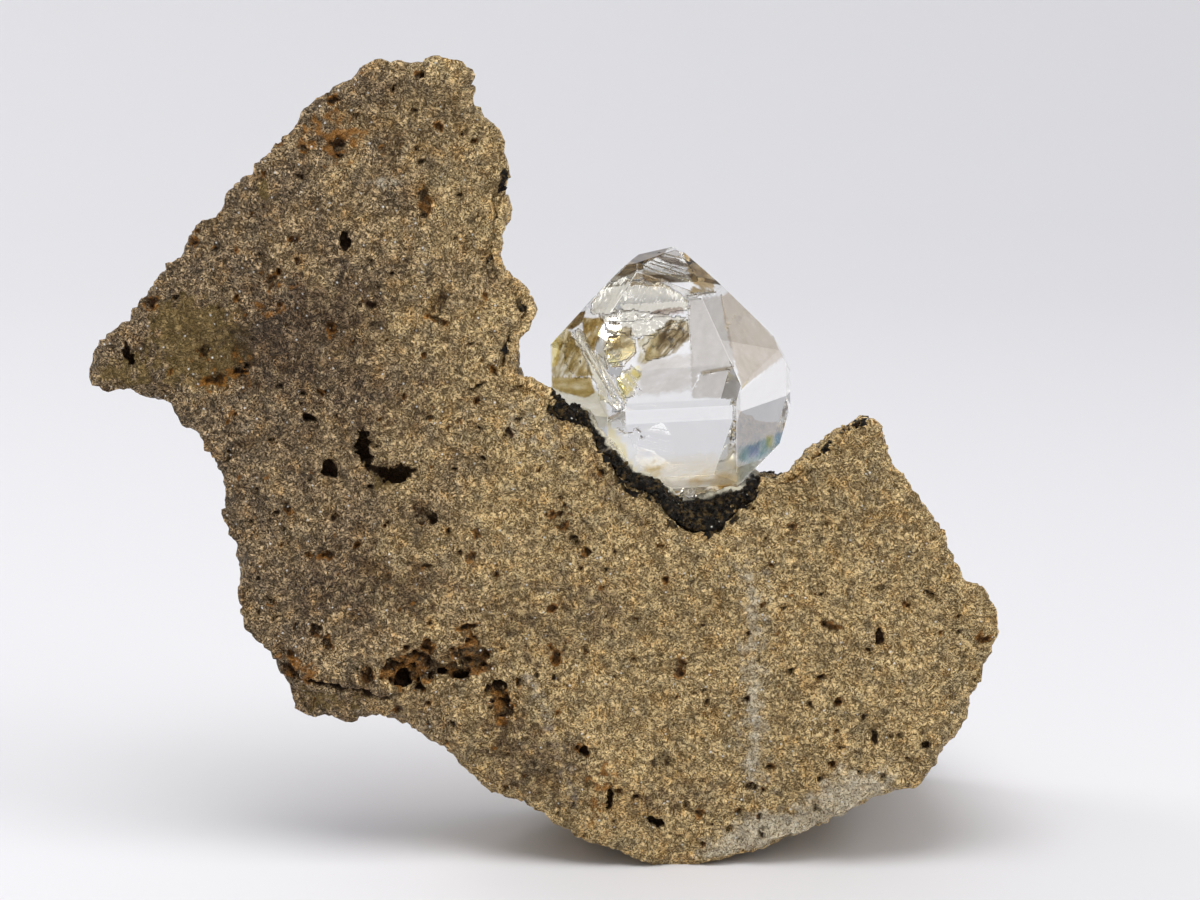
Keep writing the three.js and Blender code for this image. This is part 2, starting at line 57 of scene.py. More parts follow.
camera_data = bpy.data.cameras.new("camera")
camera_data.lens = LENS
camera_data.sensor_width = SENSOR
camera_data.clip_start = 10 * MM
camera = bpy.data.objects.new("camera", camera_data)
bpy.context.scene.collection.objects.link(camera)
toward_eye = Vector((0, -math.cos(CAMERA_RISE), math.sin(CAMERA_RISE)))
camera.location = AIM + toward_eye * VIEW_WIDTH * LENS / SENSOR
camera.rotation_euler = (math.pi / 2 - CAMERA_RISE, 0, 0)
bpy.context.scene.camera = camera

# ---------------------------------------------------------------------------------------------
# The slab: dolostone, a rock of interlocking sugary grains, brown with iron. It was split from
# its bed with a hammer. Small holes where fossils dissolved, some lined with rust, pit its face.

SKIN = 0.52 * MM             # mesh size of the sides and back; the broken face has half of it
GRAIN = 0.40 * MM
FRONT_DEPTH = -8.5 * MM      # what lies nearer than this and looks forward is the broken face
PINHOLES = 700
SWELLS = 0.40 * MM           # height of the broad swells of the broken face
COLUMNS = 0.25 * MM          # height of the upright ribs on its left half
BOXWORK = 0.75 * MM          # size of the cells with thin rusty walls in the rusty hollow
BOXWORK_DEPTH = 0.55 * MM
BOXWORK_ZONES = 4            # the first of the rusty zones, which have such cells

# Holes in the broken face, in millimetres: centre x and z, width, height, turn in degrees,
# depth, and how rusty it is from 0 to 1.
HOLES = [
    # left tip and tall lobe
    (-32.1, 41.1, 0.8, 1.9, 20, 0.9, 0.1),
    (-15.3, 49.8, 0.7, 1.5, 0, 1.0, 0.1),
    (-15.9, 57.2, 1.2, 1.4, 0, 0.6, 1.0),
    (-18.3, 57.0, 0.7, 0.7, 0, 0.35, 0.8),
    (-16.0, 60.6, 1.0, 0.8, 0, 0.4, 0.8),
    (-14.4, 59.3, 0.6, 0.8, 0, 0.4, 0.5),
    (-9.4, 62.4, 0.6, 0.7, 0, 0.5, 0.7),
    (-9.2, 52.8, 0.8, 2.2, 0, 0.35, 0.9),
    (-16.4, 43.1, 0.7, 1.2, 0, 0.4, 0.9),
    (-23.6, 39.7, 1.1, 1.1, 0, 0.6, 0.6),
    (-26.1, 41.4, 1.0, 0.9, 0, 0.5, 0.7),
    (-20.9, 46.8, 1.1, 1.5, 0, 0.35, 0.8),
    (-18.8, 48.2, 0.5, 0.9, 0, 0.4, 0.5),
    (-8.1, 45.1, 1.8, 1.7, 0, 0.3, 0.2),
    (-8.3, 43.7, 1.7, 0.6, -15, 0.45, 0.7),
    (-4.6, 45.7, 0.6, 0.6, 0, 0.3, 0.7),
    (-19.1, 50.1, 0.7, 0.6, 0, 0.35, 0.8),
    (-30.2, 44.9, 1.2, 0.9, 30, 0.5, 0.6),
    (-25.4, 39.1, 1.7, 0.7, 0, 0.4, 0.8),
    (-30.0, 37.8, 0.9, 0.8, 0, 0.5, 0.3),
    (-8.0, 58.6, 0.8, 0.8, 0, 0.4, 0.7),
    (-11.9, 56.8, 1.2, 1.1, 0, 0.3, 0.4),
    (-13.4, 44.8, 1.0, 0.8, 0, 0.4, 0.3),
    # the L-shaped hole and its neighbours
    (-13.9, 33.8, 1.5, 3.3, 2, 1.1, 0.1),
    (-11.7, 31.8, 3.0, 1.4, 8, 1.0, 0.2),
    (-13.2, 32.1, 1.8, 1.1, 0, 0.9, 0.2),
    (-18.2, 36.0, 1.2, 0.7, 0, 0.8, 0.2),
    (-16.7, 32.0, 0.8, 1.3, 30, 0.9, 0.2),
    (-13.6, 30.7, 0.5, 0.5, 0, 0.6, 0.1),
    (-9.0, 28.2, 1.0, 0.9, -20, 0.6, 0.2),
    (-9.7, 28.6, 1.3, 1.4, 0, 0.3, 0.3),
    (-19.9, 29.0, 0.7, 0.9, 20, 0.4, 0.8),
    (-16.3, 28.3, 0.8, 0.5, 30, 0.5, 0.3),
    (-9.2, 24.3, 0.9, 0.6, 0, 0.4, 0.8),
    (-5.9, 25.2, 1.0, 0.7, 30, 0.35, 0.8),
    (-21.3, 21.6, 0.7, 0.8, 0, 0.5, 0.7),
    (-18.0, 19.2, 0.8, 1.0, 0, 0.45, 0.8),
    (-16.9, 25.2, 0.7, 0.6, 0, 0.4, 0.9),
    (-2.9, 34.8, 0.6, 0.7, 0, 0.5, 0.3),
    (1.0, 28.2, 1.7, 1.5, -40, 0.35, 0.5),
    (2.1, 26.7, 0.7, 0.5, 0, 0.6, 0.2),
    (3.1, 25.5, 0.7, 0.6, 0, 0.5, 0.6),
    (-5.4, 27.0, 0.6, 0.8, 0, 0.3, 0.8),
    # the crack, the rusty hollow and the gap over the plate at the lower left
    (-5.4, 38.4, 1.9, 0.25, 24, 0.5, 0.3),
    (-10.2, 17.2, 2.0, 0.5, 0, 0.7, 0.6),
    (-11.4, 15.2, 1.4, 1.1, -15, 1.0, 0.6),
    (-10.1, 14.5, 1.1, 0.9, 0, 0.9, 0.7),
    (-9.4, 16.9, 0.6, 0.7, 0, 0.6, 0.8),
    (-9.1, 15.4, 0.6, 0.6, 0, 0.7, 0.7),
    (-8.2, 15.5, 0.8, 0.5, 0, 0.7, 0.8),
    (-6.8, 15.4, 1.4, 0.7, -5, 0.9, 0.7),
    (-13.9, 15.4, 1.0, 1.0, 0, 0.6, 1.0),
    (-6.1, 19.4, 1.6, 0.5, 15, 0.5, 0.9),
    (-7.2, 17.2, 0.7, 1.0, 0, 0.5, 1.0),
    (-5.2, 16.6, 1.4, 1.5, 0, 0.45, 1.0),
    (-4.6, 14.3, 0.8, 0.7, 0, 0.8, 0.6),
    (-3.8, 14.6, 1.1, 0.7, 0, 1.0, 0.5),
    (-3.3, 13.3, 0.7, 1.8, 5, 0.9, 0.9),
    (-15.7, 14.5, 7.2, 0.5, -13, 0.9, 0.1),
    (-20.0, 15.9, 0.8, 2.3, 40, 0.6, 0.6),
    (-17.1, 18.3, 1.0, 1.2, 0, 0.5, 0.7),
    (-9.2, 17.9, 0.8, 1.0, 0, 0.6, 0.9),
    (0.6, 16.9, 0.6, 1.3, 0, 0.5, 0.8),
    (-2.3, 15.0, 0.6, 0.9, 0, 0.5, 0.6),
    (3.0, 17.6, 0.6, 0.6, 0, 0.35, 0.6),
    (0.3, 21.1, 0.8, 0.6, 0, 0.4, 0.7),
    # the foot and the right side
    (2.9, 9.5, 0.8, 1.2, 30, 0.7, 0.6),
    (4.8, 5.8, 0.8, 2.0, 0, 0.8, 0.7),
    (3.2, 7.1, 0.5, 0.9, 0, 0.4, 0.5),
    (8.5, 3.7, 1.3, 0.7, -25, 0.9, 0.2),
    (10.4, 16.3, 0.9, 1.5, 0, 0.4, 0.6),
    (8.8, 8.4, 2.3, 1.5, 0, 0.3, 0.2),
    (14.3, 2.9, 0.4, 0.8, -20, 0.5, 0.2),
    (15.9, 6.5, 1.3, 0.6, 0, 0.5, 0.3),
    (21.4, 15.6, 0.9, 0.5, 0, 0.5, 0.6),
    (22.1, 19.6, 1.3, 0.8, 0, 0.35, 0.8),
    (25.9, 18.7, 0.6, 1.2, 0, 0.8, 0.3),
    (25.6, 10.6, 0.5, 1.2, 10, 0.6, 0.3),
    (26.9, 10.7, 0.4, 0.5, 0, 0.4, 0.2),
    (29.6, 10.0, 0.7, 0.9, 20, 0.7, 0.3),
    (26.2, 7.6, 0.6, 0.6, 0, 0.4, 0.2),
    (21.4, 7.2, 0.5, 0.4, 0, 0.4, 0.2),
    (25.8, 22.7, 0.8, 0.6, 0, 0.3, 0.5),
    (33.9, 18.5, 1.2, 0.8, 0, 0.4, 0.8),
    (8.8, 25.9, 0.7, 0.5, 0, 0.3, 0.5),
]

# Where the skin is pushed out again, as evening it has blunted the tips, as the holes above.
TIPS = [
    (-34.0, 41.0, 5.0, 5.0, 0, 0.45),
    (-11.0, 63.5, 15.0, 5.0, 0, 0.40),
]

# Soft-edged zones of another colour on the broken face, the dark ones partly painted shade, in
# millimetres: centre x and z, width, height, turn in degrees, and strength.
ZONES = {
    "rust": [
        (-10.6, 15.9, 4.6, 3.0, 0, 1.0),
        (-7.6, 15.8, 5.0, 1.4, 0, 0.8),
        (-5.6, 17.2, 2.4, 3.6, 0, 0.8),
        (-3.5, 13.2, 1.6, 3.4, 10, 0.8),
        (-19.6, 16.0, 3.0, 3.2, 0, 0.5),
        (-25.0, 39.6, 6.0, 4.0, 0, 0.35),
        (-16.4, 58.0, 5.0, 6.0, 30, 0.4),
        (4.4, 6.0, 3.0, 6.0, 0, 0.4),
        (-21.0, 46.0, 5.0, 5.0, 0, 0.25),
    ],
    "olive": [
        (-17.2, 13.4, 8.0, 2.2, -6, 0.5),
        (-26.5, 42.0, 8.5, 8.0, 0, 0.8),
        (-31.5, 39.6, 7.0, 3.4, 20, 0.6),
        (-12.4, 31.2, 3.4, 2.2, 0, 0.5),
        (-21.3, 53.8, 0.9, 1.9, 0, 1.0),
    ],
    "pale": [
        (18.0, 2.2, 11.0, 4.4, 17, 1.0),
        (23.0, 5.4, 10.0, 4.0, 26, 0.75),
        (15.8, 21.5, 0.9, 8.0, 2, 0.62),
        (16.1, 12.0, 1.1, 12.0, -1, 0.70),
        (16.0, 14.5, 3.0, 22.0, 0, 0.35),
        (-12.2, 54.2, 3.4, 0.8, 3, 0.5),
        (-0.3, 13.0, 1.0, 9.5, 24, 0.45),
        (1.8, 6.6, 0.9, 8.0, 18, 0.35),
        (-1.2, 35.5, 6.0, 4.6, -40, 0.3),
    ],
    # partly painted shade, where the face is recessed and where it turns from the light; partly darker rock
    "dark": [
        (-14.0, 22.5, 14.0, 7.0, 0, 0.40),
        (0.0, 20.0, 13.0, 12.0, 20, 0.30),
        (-19.0, 43.0, 13.0, 9.0, 20, 0.60),
        (-13.0, 38.0, 10.0, 5.0, 0, 0.40),
        (-1.0, 9.0, 10.0, 8.0, -30, 0.50),
        (4.0, 21.0, 4.0, 5.0, 30, 0.40),
        (10.0, 6.0, 7.0, 3.0, 10, 0.35),
        (-15.5, 14.7, 7.0, 0.9, -13, 0.6),
        (2.0, 27.0, 4.6, 4.4, -40, 0.3),
        (4.4, 31.4, 12.0, 2.4, -46, 0.35),
    ],
}
# Where the tar-black lining of the old cavity laps over the broken face, as the patches above,
# and the outlines of the black band under the crystal, in millimetres to the right of the
# camera's aim point and up from it, as the eye sees it.
BLACK = [
    (1.9, 36.9, 1.5, 2.6, 38, 1.0),
    (3.4, 35.5, 2.6, 0.9, -42, 1.0),
    (15.3, 30.2, 1.4, 2.4, -35, 1.0),
    (15.9, 31.3, 1.0, 1.6, -20, 0.8),
    (-3.1, 53.8, 0.7, 2.6, 5, 0.8),
    (-3.3, 50.7, 0.8, 3.2, 0, 0.8),
    (-3.3, 47.8, 1.2, 1.6, 0, 1.0),
    (-1.4, 44.9, 1.2, 1.6, 40, 0.9),
    (-0.9, 43.8, 1.0, 1.2, 0, 0.8),
    (-2.5, 40.9, 1.0, 1.8, 20, 1.0),
    (18.2, 31.9, 3.6, 0.5, 12, 0.6),
    (23.6, 35.9, 2.2, 0.6, 22, 0.8),
    (22.1, 34.4, 0.8, 0.8, 40, 0.7),
]
TAR = [
    [(-3.9, 5.2), (-1.7, 4.7), (-0.7, 3.7), (-1.1, 1.8), (-2.6, 2.3), (-3.7, 2.5)],
    [(-1.7, 4.6), (0.8, 2.9), (2.2, 1.7), (0.9, -1.2), (-0.2, 0.3), (-1.4, 2.0)],
    [(1.9, 1.8), (3.1, 0.1), (4.4, -2.1), (3.1, -3.6), (1.7, -2.9), (0.6, -1.0)],
    [(3.1, -0.8), (4.4, -2.1), (6.0, -2.7), (5.5, -5.3), (4.7, -4.5), (3.1, -3.6), (2.2, -2.4)],
    [(4.8, -2.4), (7.5, -2.8), (10.0, -3.2), (10.5, -5.2), (10.2, -5.7), (8.6, -6.2), (5.3, -6.0)],
    [(7.9, -5.8), (9.4, -5.5), (9.4, -6.2), (8.6, -6.8), (8.0, -6.7)],
    [(8.6, -3.4), (11.4, -1.3), (12.1, -1.8), (12.0, -3.0), (11.7, -3.9), (10.8, -4.3), (9.5, -4.6)],
    [(18.4, 0.9), (18.5, 2.4), (20.0, 3.3), (20.7, 3.0), (20.4, 1.9), (19.6, 1.3)],
    [(16.9, -0.5), (17.0, 0.6), (17.6, 1.2), (18.3, 1.2), (18.0, 0.4), (17.6, -0.2)],
]


def clean_copy(node, name):
    """A new object with a copy of a CAD node's mesh, its doubled corners merged."""
    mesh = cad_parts[node].data.copy()
    mesh.name = name
    mesh.materials.clear()
    bm = bmesh.new()
    bm.from_mesh(mesh)
    bmesh.ops.remove_doubles(bm, verts=bm.verts, dist=MM / 1000)
    bm.to_mesh(mesh)
    bm.free()
    piece = bpy.data.objects.new(name, mesh)
    bpy.context.scene.collection.objects.link(piece)
    return piece


def settle(piece):
    """Turns what the piece's modifiers make of it into its plain mesh."""
    shown = piece.evaluated_get(bpy.context.evaluated_depsgraph_get())
    mesh = bpy.data.meshes.new_from_object(shown)
    piece.modifiers.clear()
    piece.data = mesh


def even_skin(piece, size):
    """Covers the piece with even quads of about that size."""
    remesh = piece.modifiers.new("even skin", "REMESH")
    remesh.mode = "VOXEL"
    remesh.voxel_size = size
    settle(piece)


def corners(mesh):
    """The mesh's vertices and their normals, as two arrays."""
    places = np.empty(len(mesh.vertices) * 3)
    normals = np.empty(len(mesh.vertices) * 3)
    mesh.vertices.foreach_get("co", places)
    mesh.vertices.foreach_get("normal", normals)
    return places.reshape(-1, 3), normals.reshape(-1, 3)


def write(mesh, name, values):
    mesh.attributes.new(name, "FLOAT", "POINT").data.foreach_set("value", values)


def smooth(values):
    values = np.clip(values, 0, 1)
    return values * values * (3 - 2 * values)


def ruffles(places, size, seed):
    """A smooth random shift for each place, about one unit long, with features of that size."""
    shifts = [
        noise.noise_vector((x / size + seed, y / size, z / size)) for x, y, z in places.tolist()
    ]
    return np.array(shifts)


def reach(places, patch):
    """How far each place is from a patch's centre, counted in the patch's own half sizes."""
    x, z, width, height, turn = patch[:5]
    dx = places[:, 0] / MM - x
    dz = places[:, 2] / MM - z
    cos, sin = math.cos(math.radians(turn)), math.sin(math.radians(turn))
    along = (dx * cos + dz * sin) / (width / 2)
    across = (dz * cos - dx * sin) / (height / 2)
    return np.hypot(along, across)


def ragged_reach(places, frays, patch, most=1.0 * MM):
    """The same, with the patch's outline frayed by up to a quarter of its narrow side."""
    fray = min(0.5 * min(patch[2], patch[3]) * MM, most)
    return reach(places + frays * fray, patch)


EYE = camera.location
FORWARD = -toward_eye
UPWARD = Vector((0, -FORWARD.z, FORWARD.y))


def seen(places):
    """Where the eye sees each place, in millimetres across and up from the aim point."""
    rel = places - np.array(EYE)
    scale = (AIM - EYE).length / (rel @ np.array(FORWARD)) / MM
    return np.stack((rel[:, 0] * scale, (rel @ np.array(UPWARD)) * scale), axis=1) - AIM_SEEN


AIM_SEEN = np.array(((AIM - EYE).x / MM, 0.0))


def how_far_inside(points, outline):
    """How far each point is inside a convex outline, in millimetres; below 0 it is outside."""
    ring = np.array(outline)
    after = np.roll(ring, -1, axis=0)
    turn = np.sign(np.sum(ring[:, 0] * after[:, 1] - after[:, 0] * ring[:, 1]))
    inside = np.full(len(points), 99.0)
    for start, end in zip(ring, after):
        side = (end - start) / np.hypot(*(end - start))
        rel = points - start
        inside = np.minimum(inside, (side[0] * rel[:, 1] - side[1] * rel[:, 0]) * turn)
    return inside


def tarred(places):
    """How surely each place lies in the black band, as the eye sees it; its edge is frayed."""
    shift = 0.5 * ruffles(places, 0.7 * MM, 43) + 0.3 * ruffles(places, 0.25 * MM, 47)
    points = seen(places) + shift[:, [0, 2]]
    inside = np.max([how_far_inside(points, outline) for outline in TAR], axis=0)
    return smooth(inside / 0.3 + 0.5)


def cut_finer(bm, edges):
    bmesh.ops.subdivide_edges(bm, edges=edges, cuts=1, use_grid_fill=True)


pins = random.Random(7)
pinholes = []
for i in range(PINHOLES):
    across = pins.uniform(-34, 34)
    up = pins.uniform(1, 63)
    width = pins.uniform(0.22, 0.62)
    slim = pins.uniform(0.5, 1.0)
    pinholes.append((across, up, width, width * slim, pins.uniform(0, 180), 0.9 * width, pins.random()))

slab = clean_copy("dolostone_matrix", "dolostone_slab")
even_skin(slab, SKIN)
bm = bmesh.new()
bm.from_mesh(slab.data)
bmesh.ops.smooth_vert(bm, verts=bm.verts, factor=0.5, use_axis_x=True, use_axis_y=True, use_axis_z=True)
cut_finer(bm, list({
    edge
    for face in bm.faces
    if face.normal.y < -0.3 and face.calc_center_median().y < FRONT_DEPTH
    for edge in face.edges
}))
bm.to_mesh(slab.data)
places, normals = corners(slab.data)
front = (normals[:, 1] < -0.3) & (places[:, 1] < FRONT_DEPTH)
holed = np.zeros(len(places), bool)
for hole in HOLES + ZONES["rust"][:BOXWORK_ZONES]:
    holed |= reach(places, hole) < 1.9
holed &= front
bm.verts.ensure_lookup_table()
cut_finer(bm, [edge for edge in bm.edges if holed[edge.verts[0].index] and holed[edge.verts[1].index]])
bm.to_mesh(slab.data)
bm.free()

places, normals = corners(slab.data)
facing = smooth((-normals[:, 1] - 0.15) / 0.4) * (places[:, 1] < FRONT_DEPTH)
front = facing > 0
spots = places[front]
frays = 0.75 * ruffles(spots, 0.9 * MM, 3) + 0.65 * ruffles(spots, 0.32 * MM, 11)
broad = ruffles(spots, 3.2 * MM, 23) + 0.5 * frays


def spread_over(patches, edge, softness):
    """The strongest of some patches at each place of the broken face, with frayed outlines."""
    strength = np.zeros(len(spots))
    for patch in patches:
        away = reach(spots + broad * 0.35 * min(patch[2], patch[3], 3.0) * MM, patch)
        strength = np.maximum(strength, patch[5] * smooth((edge - away) / softness))
    everywhere = np.zeros(len(places))
    everywhere[front] = strength * facing[front]
    return everywhere


depth = np.zeros(len(spots))
shade = np.zeros(len(spots))
rust = np.zeros(len(spots))
for hole in HOLES + pinholes:
    away = ragged_reach(spots, frays, hole)
    depth = np.maximum(depth, hole[5] * MM * smooth((1.2 - away) / 0.7))
    # Painted shade: each hole is darkened toward deep brown-black, the more the deeper it is.
    dark = min(1.0, 0.25 + 0.9 * hole[5]) * (1 - 0.35 * hole[6])
    shade = np.maximum(shade, dark * smooth((1.2 - away) / 0.5))
    rust = np.maximum(rust, 0.8 * hole[6] * smooth((1.8 - away) / 1.0))
rusty = spread_over(ZONES["rust"], 1.5, 1.0)
in_boxwork = spread_over(ZONES["rust"][:BOXWORK_ZONES], 1.3, 0.5)[front]
cells = [noise.voronoi(place)[0][0] for place in (spots / BOXWORK + 0.3 * frays).tolist()]
cells = smooth((0.50 - np.array(cells)) / 0.25) * in_boxwork
depth += BOXWORK_DEPTH * cells
# Painted shade in the hollows of the boxwork cells as well.
shade = np.maximum(shade, 0.85 * cells)
columns = ruffles(spots * (1, 1, 0.3), 1.5 * MM, 83)[:, 1] * smooth((8 * MM - spots[:, 0]) / (20 * MM))
depth -= SWELLS * 2 * ruffles(spots, 7 * MM, 71)[:, 1] + COLUMNS * 2 * columns
everywhere = {"hollow": depth, "shade": shade}
for name, values in everywhere.items():
    whole = np.zeros(len(places))
    whole[front] = values * facing[front]
    if name == "hollow":
        for tip in TIPS:
            whole -= tip[5] * MM * smooth((1.3 - reach(places, tip)) / 0.6)
    write(slab.data, name, whole)
rusty[front] = np.maximum(rusty[front], rust * facing[front])
write(slab.data, "rust", rusty)
for name in ("olive", "pale", "dark"):
    write(slab.data, name, spread_over(ZONES[name], 1.6, 1.3))
sooty = spread_over(BLACK, 1.25, 0.4)
sooty[front] = np.maximum(sooty[front], tarred(spots) * facing[front])
write(slab.data, "soot", sooty)


def put(tree, kind, feeds=None, **settings):
    """Adds a node. feeds gives each input, by name or number, a value or a socket to link."""
    made = tree.nodes.new(kind)
    for name, value in settings.items():
        setattr(made, name, value)
    for key, value in (feeds or {}).items():
        if isinstance(value, bpy.types.NodeSocket):
            tree.links.new(value, made.inputs[key])
        else:
            made.inputs[key].default_value = value
    return made


def maths(tree, operation, *values, clamp=False):
    """A Math node's result."""
    feeds = dict(enumerate(values))
    return put(tree, "ShaderNodeMath", feeds, operation=operation, use_clamp=clamp).outputs[0]


def vectors(tree, operation, *values):
    """A Vector Math node's result; the last value is the factor where it scales."""
    feeds = dict(enumerate(values))
    if operation == "SCALE":
        feeds = {0: values[0], "Scale": values[1]}
    return put(tree, "ShaderNodeVectorMath", feeds, operation=operation).outputs[0]


def spread(tree, value, low, high, to_low=0.0, to_high=1.0):
    """Eases a value from one range to another."""
    feeds = {"Value": value, "From Min": low, "From Max": high, "To Min": to_low, "To Max": to_high}
    return put(tree, "ShaderNodeMapRange", feeds, interpolation_type="SMOOTHSTEP").outputs[0]


def new_tree(name, kind, ins, outs):
    """An empty node group with named inputs and outputs: (tree, its inputs, its output node)."""
    tree = bpy.data.node_groups.new(name, kind)
    for label, (socket, value) in ins.items():
        made = tree.interface.new_socket(label, in_out="INPUT", socket_type="NodeSocket" + socket)
        if value is not None:
            made.default_value = value
    for label, socket in outs.items():
        tree.interface.new_socket(label, in_out="OUTPUT", socket_type="NodeSocket" + socket)
    return tree, tree.nodes.new("NodeGroupInput").outputs, tree.nodes.new("NodeGroupOutput")


def rough_skin_tree():
    """Raises lumps and grains on a skin, sinks its hollows, and keeps it clear of a neighbour."""
    tree, ins, end = new_tree(
        "rough skin",
        "GeometryNodeTree",
        {
            "Geometry": ("Geometry", None),
            "Neighbour": ("Object", None),
            "Clearance": ("Float", 0.8 * MM),
            "Lump Size": ("Float", 3 * MM),
            "Lump Height": ("Float", 0.3 * MM),
            "Grain Size": ("Float", 0.5 * MM),
            "Grain Height": ("Float", 0.15 * MM),
            "Material": ("Material", None),
        },
        {"Geometry": "Geometry"},
    )
    place = put(tree, "GeometryNodeInputPosition").outputs[0]
    normal = put(tree, "GeometryNodeInputNormal").outputs[0]
    lumps = put(
        tree,
        "ShaderNodeTexNoise",
        {"Vector": place, "Scale": maths(tree, "DIVIDE", 1.0, ins["Lump Size"]), "Detail": 4.0},
    ).outputs[0]
    grains = put(
        tree,
        "ShaderNodeTexVoronoi",
        {"Vector": place, "Scale": maths(tree, "DIVIDE", 1.0, ins["Grain Size"])},
    ).outputs["Distance"]
    lump_rise = maths(tree, "MULTIPLY", maths(tree, "SUBTRACT", lumps, 0.5), ins["Lump Height"])
    grain_rise = maths(tree, "MULTIPLY", maths(tree, "SUBTRACT", 0.5, grains), ins["Grain Height"])
    rise = maths(tree, "ADD", maths(tree, "MULTIPLY", lump_rise, 2.0), grain_rise)

    other = put(tree, "GeometryNodeObjectInfo", {"Object": ins["Neighbour"]}).outputs["Geometry"]
    gap = put(tree, "GeometryNodeProximity", {0: other}, target_element="FACES").outputs["Distance"]
    free = spread(tree, gap, maths(tree, "MULTIPLY", ins["Clearance"], 0.3), ins["Clearance"])
    height = put(tree, "ShaderNodeSeparateXYZ", {0: place}).outputs["Z"]
    off_table = spread(tree, height, 0.05 * MM, 0.9 * MM)
    rise = maths(tree, "MULTIPLY", maths(tree, "MULTIPLY", rise, free), off_table)

    sunk = put(tree, "GeometryNodeInputNamedAttribute", {"Name": "hollow"}, data_type="FLOAT").outputs[0]
    offset = vectors(tree, "SCALE", normal, maths(tree, "SUBTRACT", rise, sunk))
    moved = put(
        tree, "GeometryNodeSetPosition", {"Geometry": ins["Geometry"], "Offset": offset}
    ).outputs[0]
    dressed = put(
        tree, "GeometryNodeSetMaterial", {"Geometry": moved, "Material": ins["Material"]}
    ).outputs[0]
    tree.links.new(dressed, end.inputs[0])
    return tree


def grow(piece, tree, **values):
    """Runs a node tree on the piece with these inputs, and makes the result its plain mesh."""
    modifier = piece.modifiers.new(tree.name, "NODES")
    modifier.node_group = tree
    for item in tree.interface.items_tree:
        label = item.name.lower().replace(" ", "_")
        if item.in_out == "INPUT" and label in values:
            modifier[item.identifier] = values[label]
    settle(piece)


def sugar_group():
    """Interlocking grains, as shading: short strokes in bundles, a tint for each grain, glints."""
    tree, ins, end = new_tree(
        "sugary grain",
        "ShaderNodeTree",
        {"Place": ("Vector", None), "Grain": ("Float", GRAIN)},
        {"Stroke": "Float", "Tint": "Float", "Glint": "Float", "Height": "Float"},
    )
    per_metre = maths(tree, "DIVIDE", 1.0, ins["Grain"])
    bend = put(tree, "ShaderNodeTexNoise", {"Vector": ins["Place"], "Scale": per_metre, "Detail": 1.0})
    bend = vectors(tree, "SUBTRACT", bend.outputs["Color"], (0.5, 0.5, 0.5))
    bend = vectors(tree, "SCALE", bend, maths(tree, "MULTIPLY", ins["Grain"], 1.6))
    bent = vectors(tree, "ADD", ins["Place"], bend)

    def bundles(size, slimness):
        """Light and dark strokes, each bundle of them lying its own way, as grains cleave."""
        scale = maths(tree, "DIVIDE", per_metre, size)
        cells = put(tree, "ShaderNodeTexVoronoi", {"Vector": bent, "Scale": scale}).outputs["Color"]
        axis = vectors(tree, "SUBTRACT", cells, (0.5, 0.5, 0.5))
        angle = maths(tree, "MULTIPLY", put(tree, "ShaderNodeSeparateColor", {0: cells}).outputs[1], 9.0)
        turned = put(
            tree,
            "ShaderNodeVectorRotate",
            {"Vector": bent, "Axis": axis, "Angle": angle},
            rotation_type="AXIS_ANGLE",
        ).outputs[0]
        slim = vectors(tree, "MULTIPLY", turned, (1.0, slimness, slimness))
        cloud = put(tree, "ShaderNodeTexNoise", {"Vector": slim, "Scale": per_metre, "Detail": 1.5})
        return spread(tree, cloud.outputs[0], 0.34, 0.66)

    stroke = maths(
        tree,
        "ADD",
        maths(tree, "MULTIPLY", bundles(1.9, 2.6), 0.55),
        maths(tree, "MULTIPLY", bundles(1.2, 3.4), 0.45),
    )
    cells = put(tree, "ShaderNodeTexVoronoi", {"Vector": ins["Place"], "Scale": per_metre})
    random_parts = put(tree, "ShaderNodeSeparateColor", {0: cells.outputs["Color"]})
    core = spread(tree, cells.outputs["Distance"], 0.12, 0.30, 1.0, 0.0)
    glint = maths(tree, "MULTIPLY", spread(tree, random_parts.outputs[1], 0.92, 0.935), core)
    dome = maths(tree, "SUBTRACT", 1.0, cells.outputs["Distance"])
    height = maths(tree, "ADD", maths(tree, "MULTIPLY", stroke, 0.8), maths(tree, "MULTIPLY", dome, 0.5))
    tree.links.new(stroke, end.inputs["Stroke"])
    tree.links.new(random_parts.outputs[0], end.inputs["Tint"])
    tree.links.new(glint, end.inputs["Glint"])
    tree.links.new(height, end.inputs["Height"])
    return tree


def mixed(tree, factor, low, high, blend="MIX"):
    """A colour between two, by a factor."""
    feeds = {0: factor, 6: low, 7: high}
    return put(tree, "ShaderNodeMix", feeds, data_type="RGBA", blend_type=blend).outputs[2]


def cloudy(tree, place, size, detail=2.0, distortion=0.0):
    """Cloudy noise with features of that size."""
    feeds = {"Vector": place, "Scale": 1 / size, "Detail": detail, "Distortion": distortion}
    return put(tree, "ShaderNodeTexNoise", feeds).outputs[0]


def attribute(tree, name):
    return put(tree, "ShaderNodeAttribute", attribute_name=name).outputs["Fac"]


def new_material(name):
    """An empty material: (material, its tree, its surface shader)."""
    made = bpy.data.materials.new(name)
    made.use_nodes = True
    return made, made.node_tree, made.node_tree.nodes["Principled BSDF"]
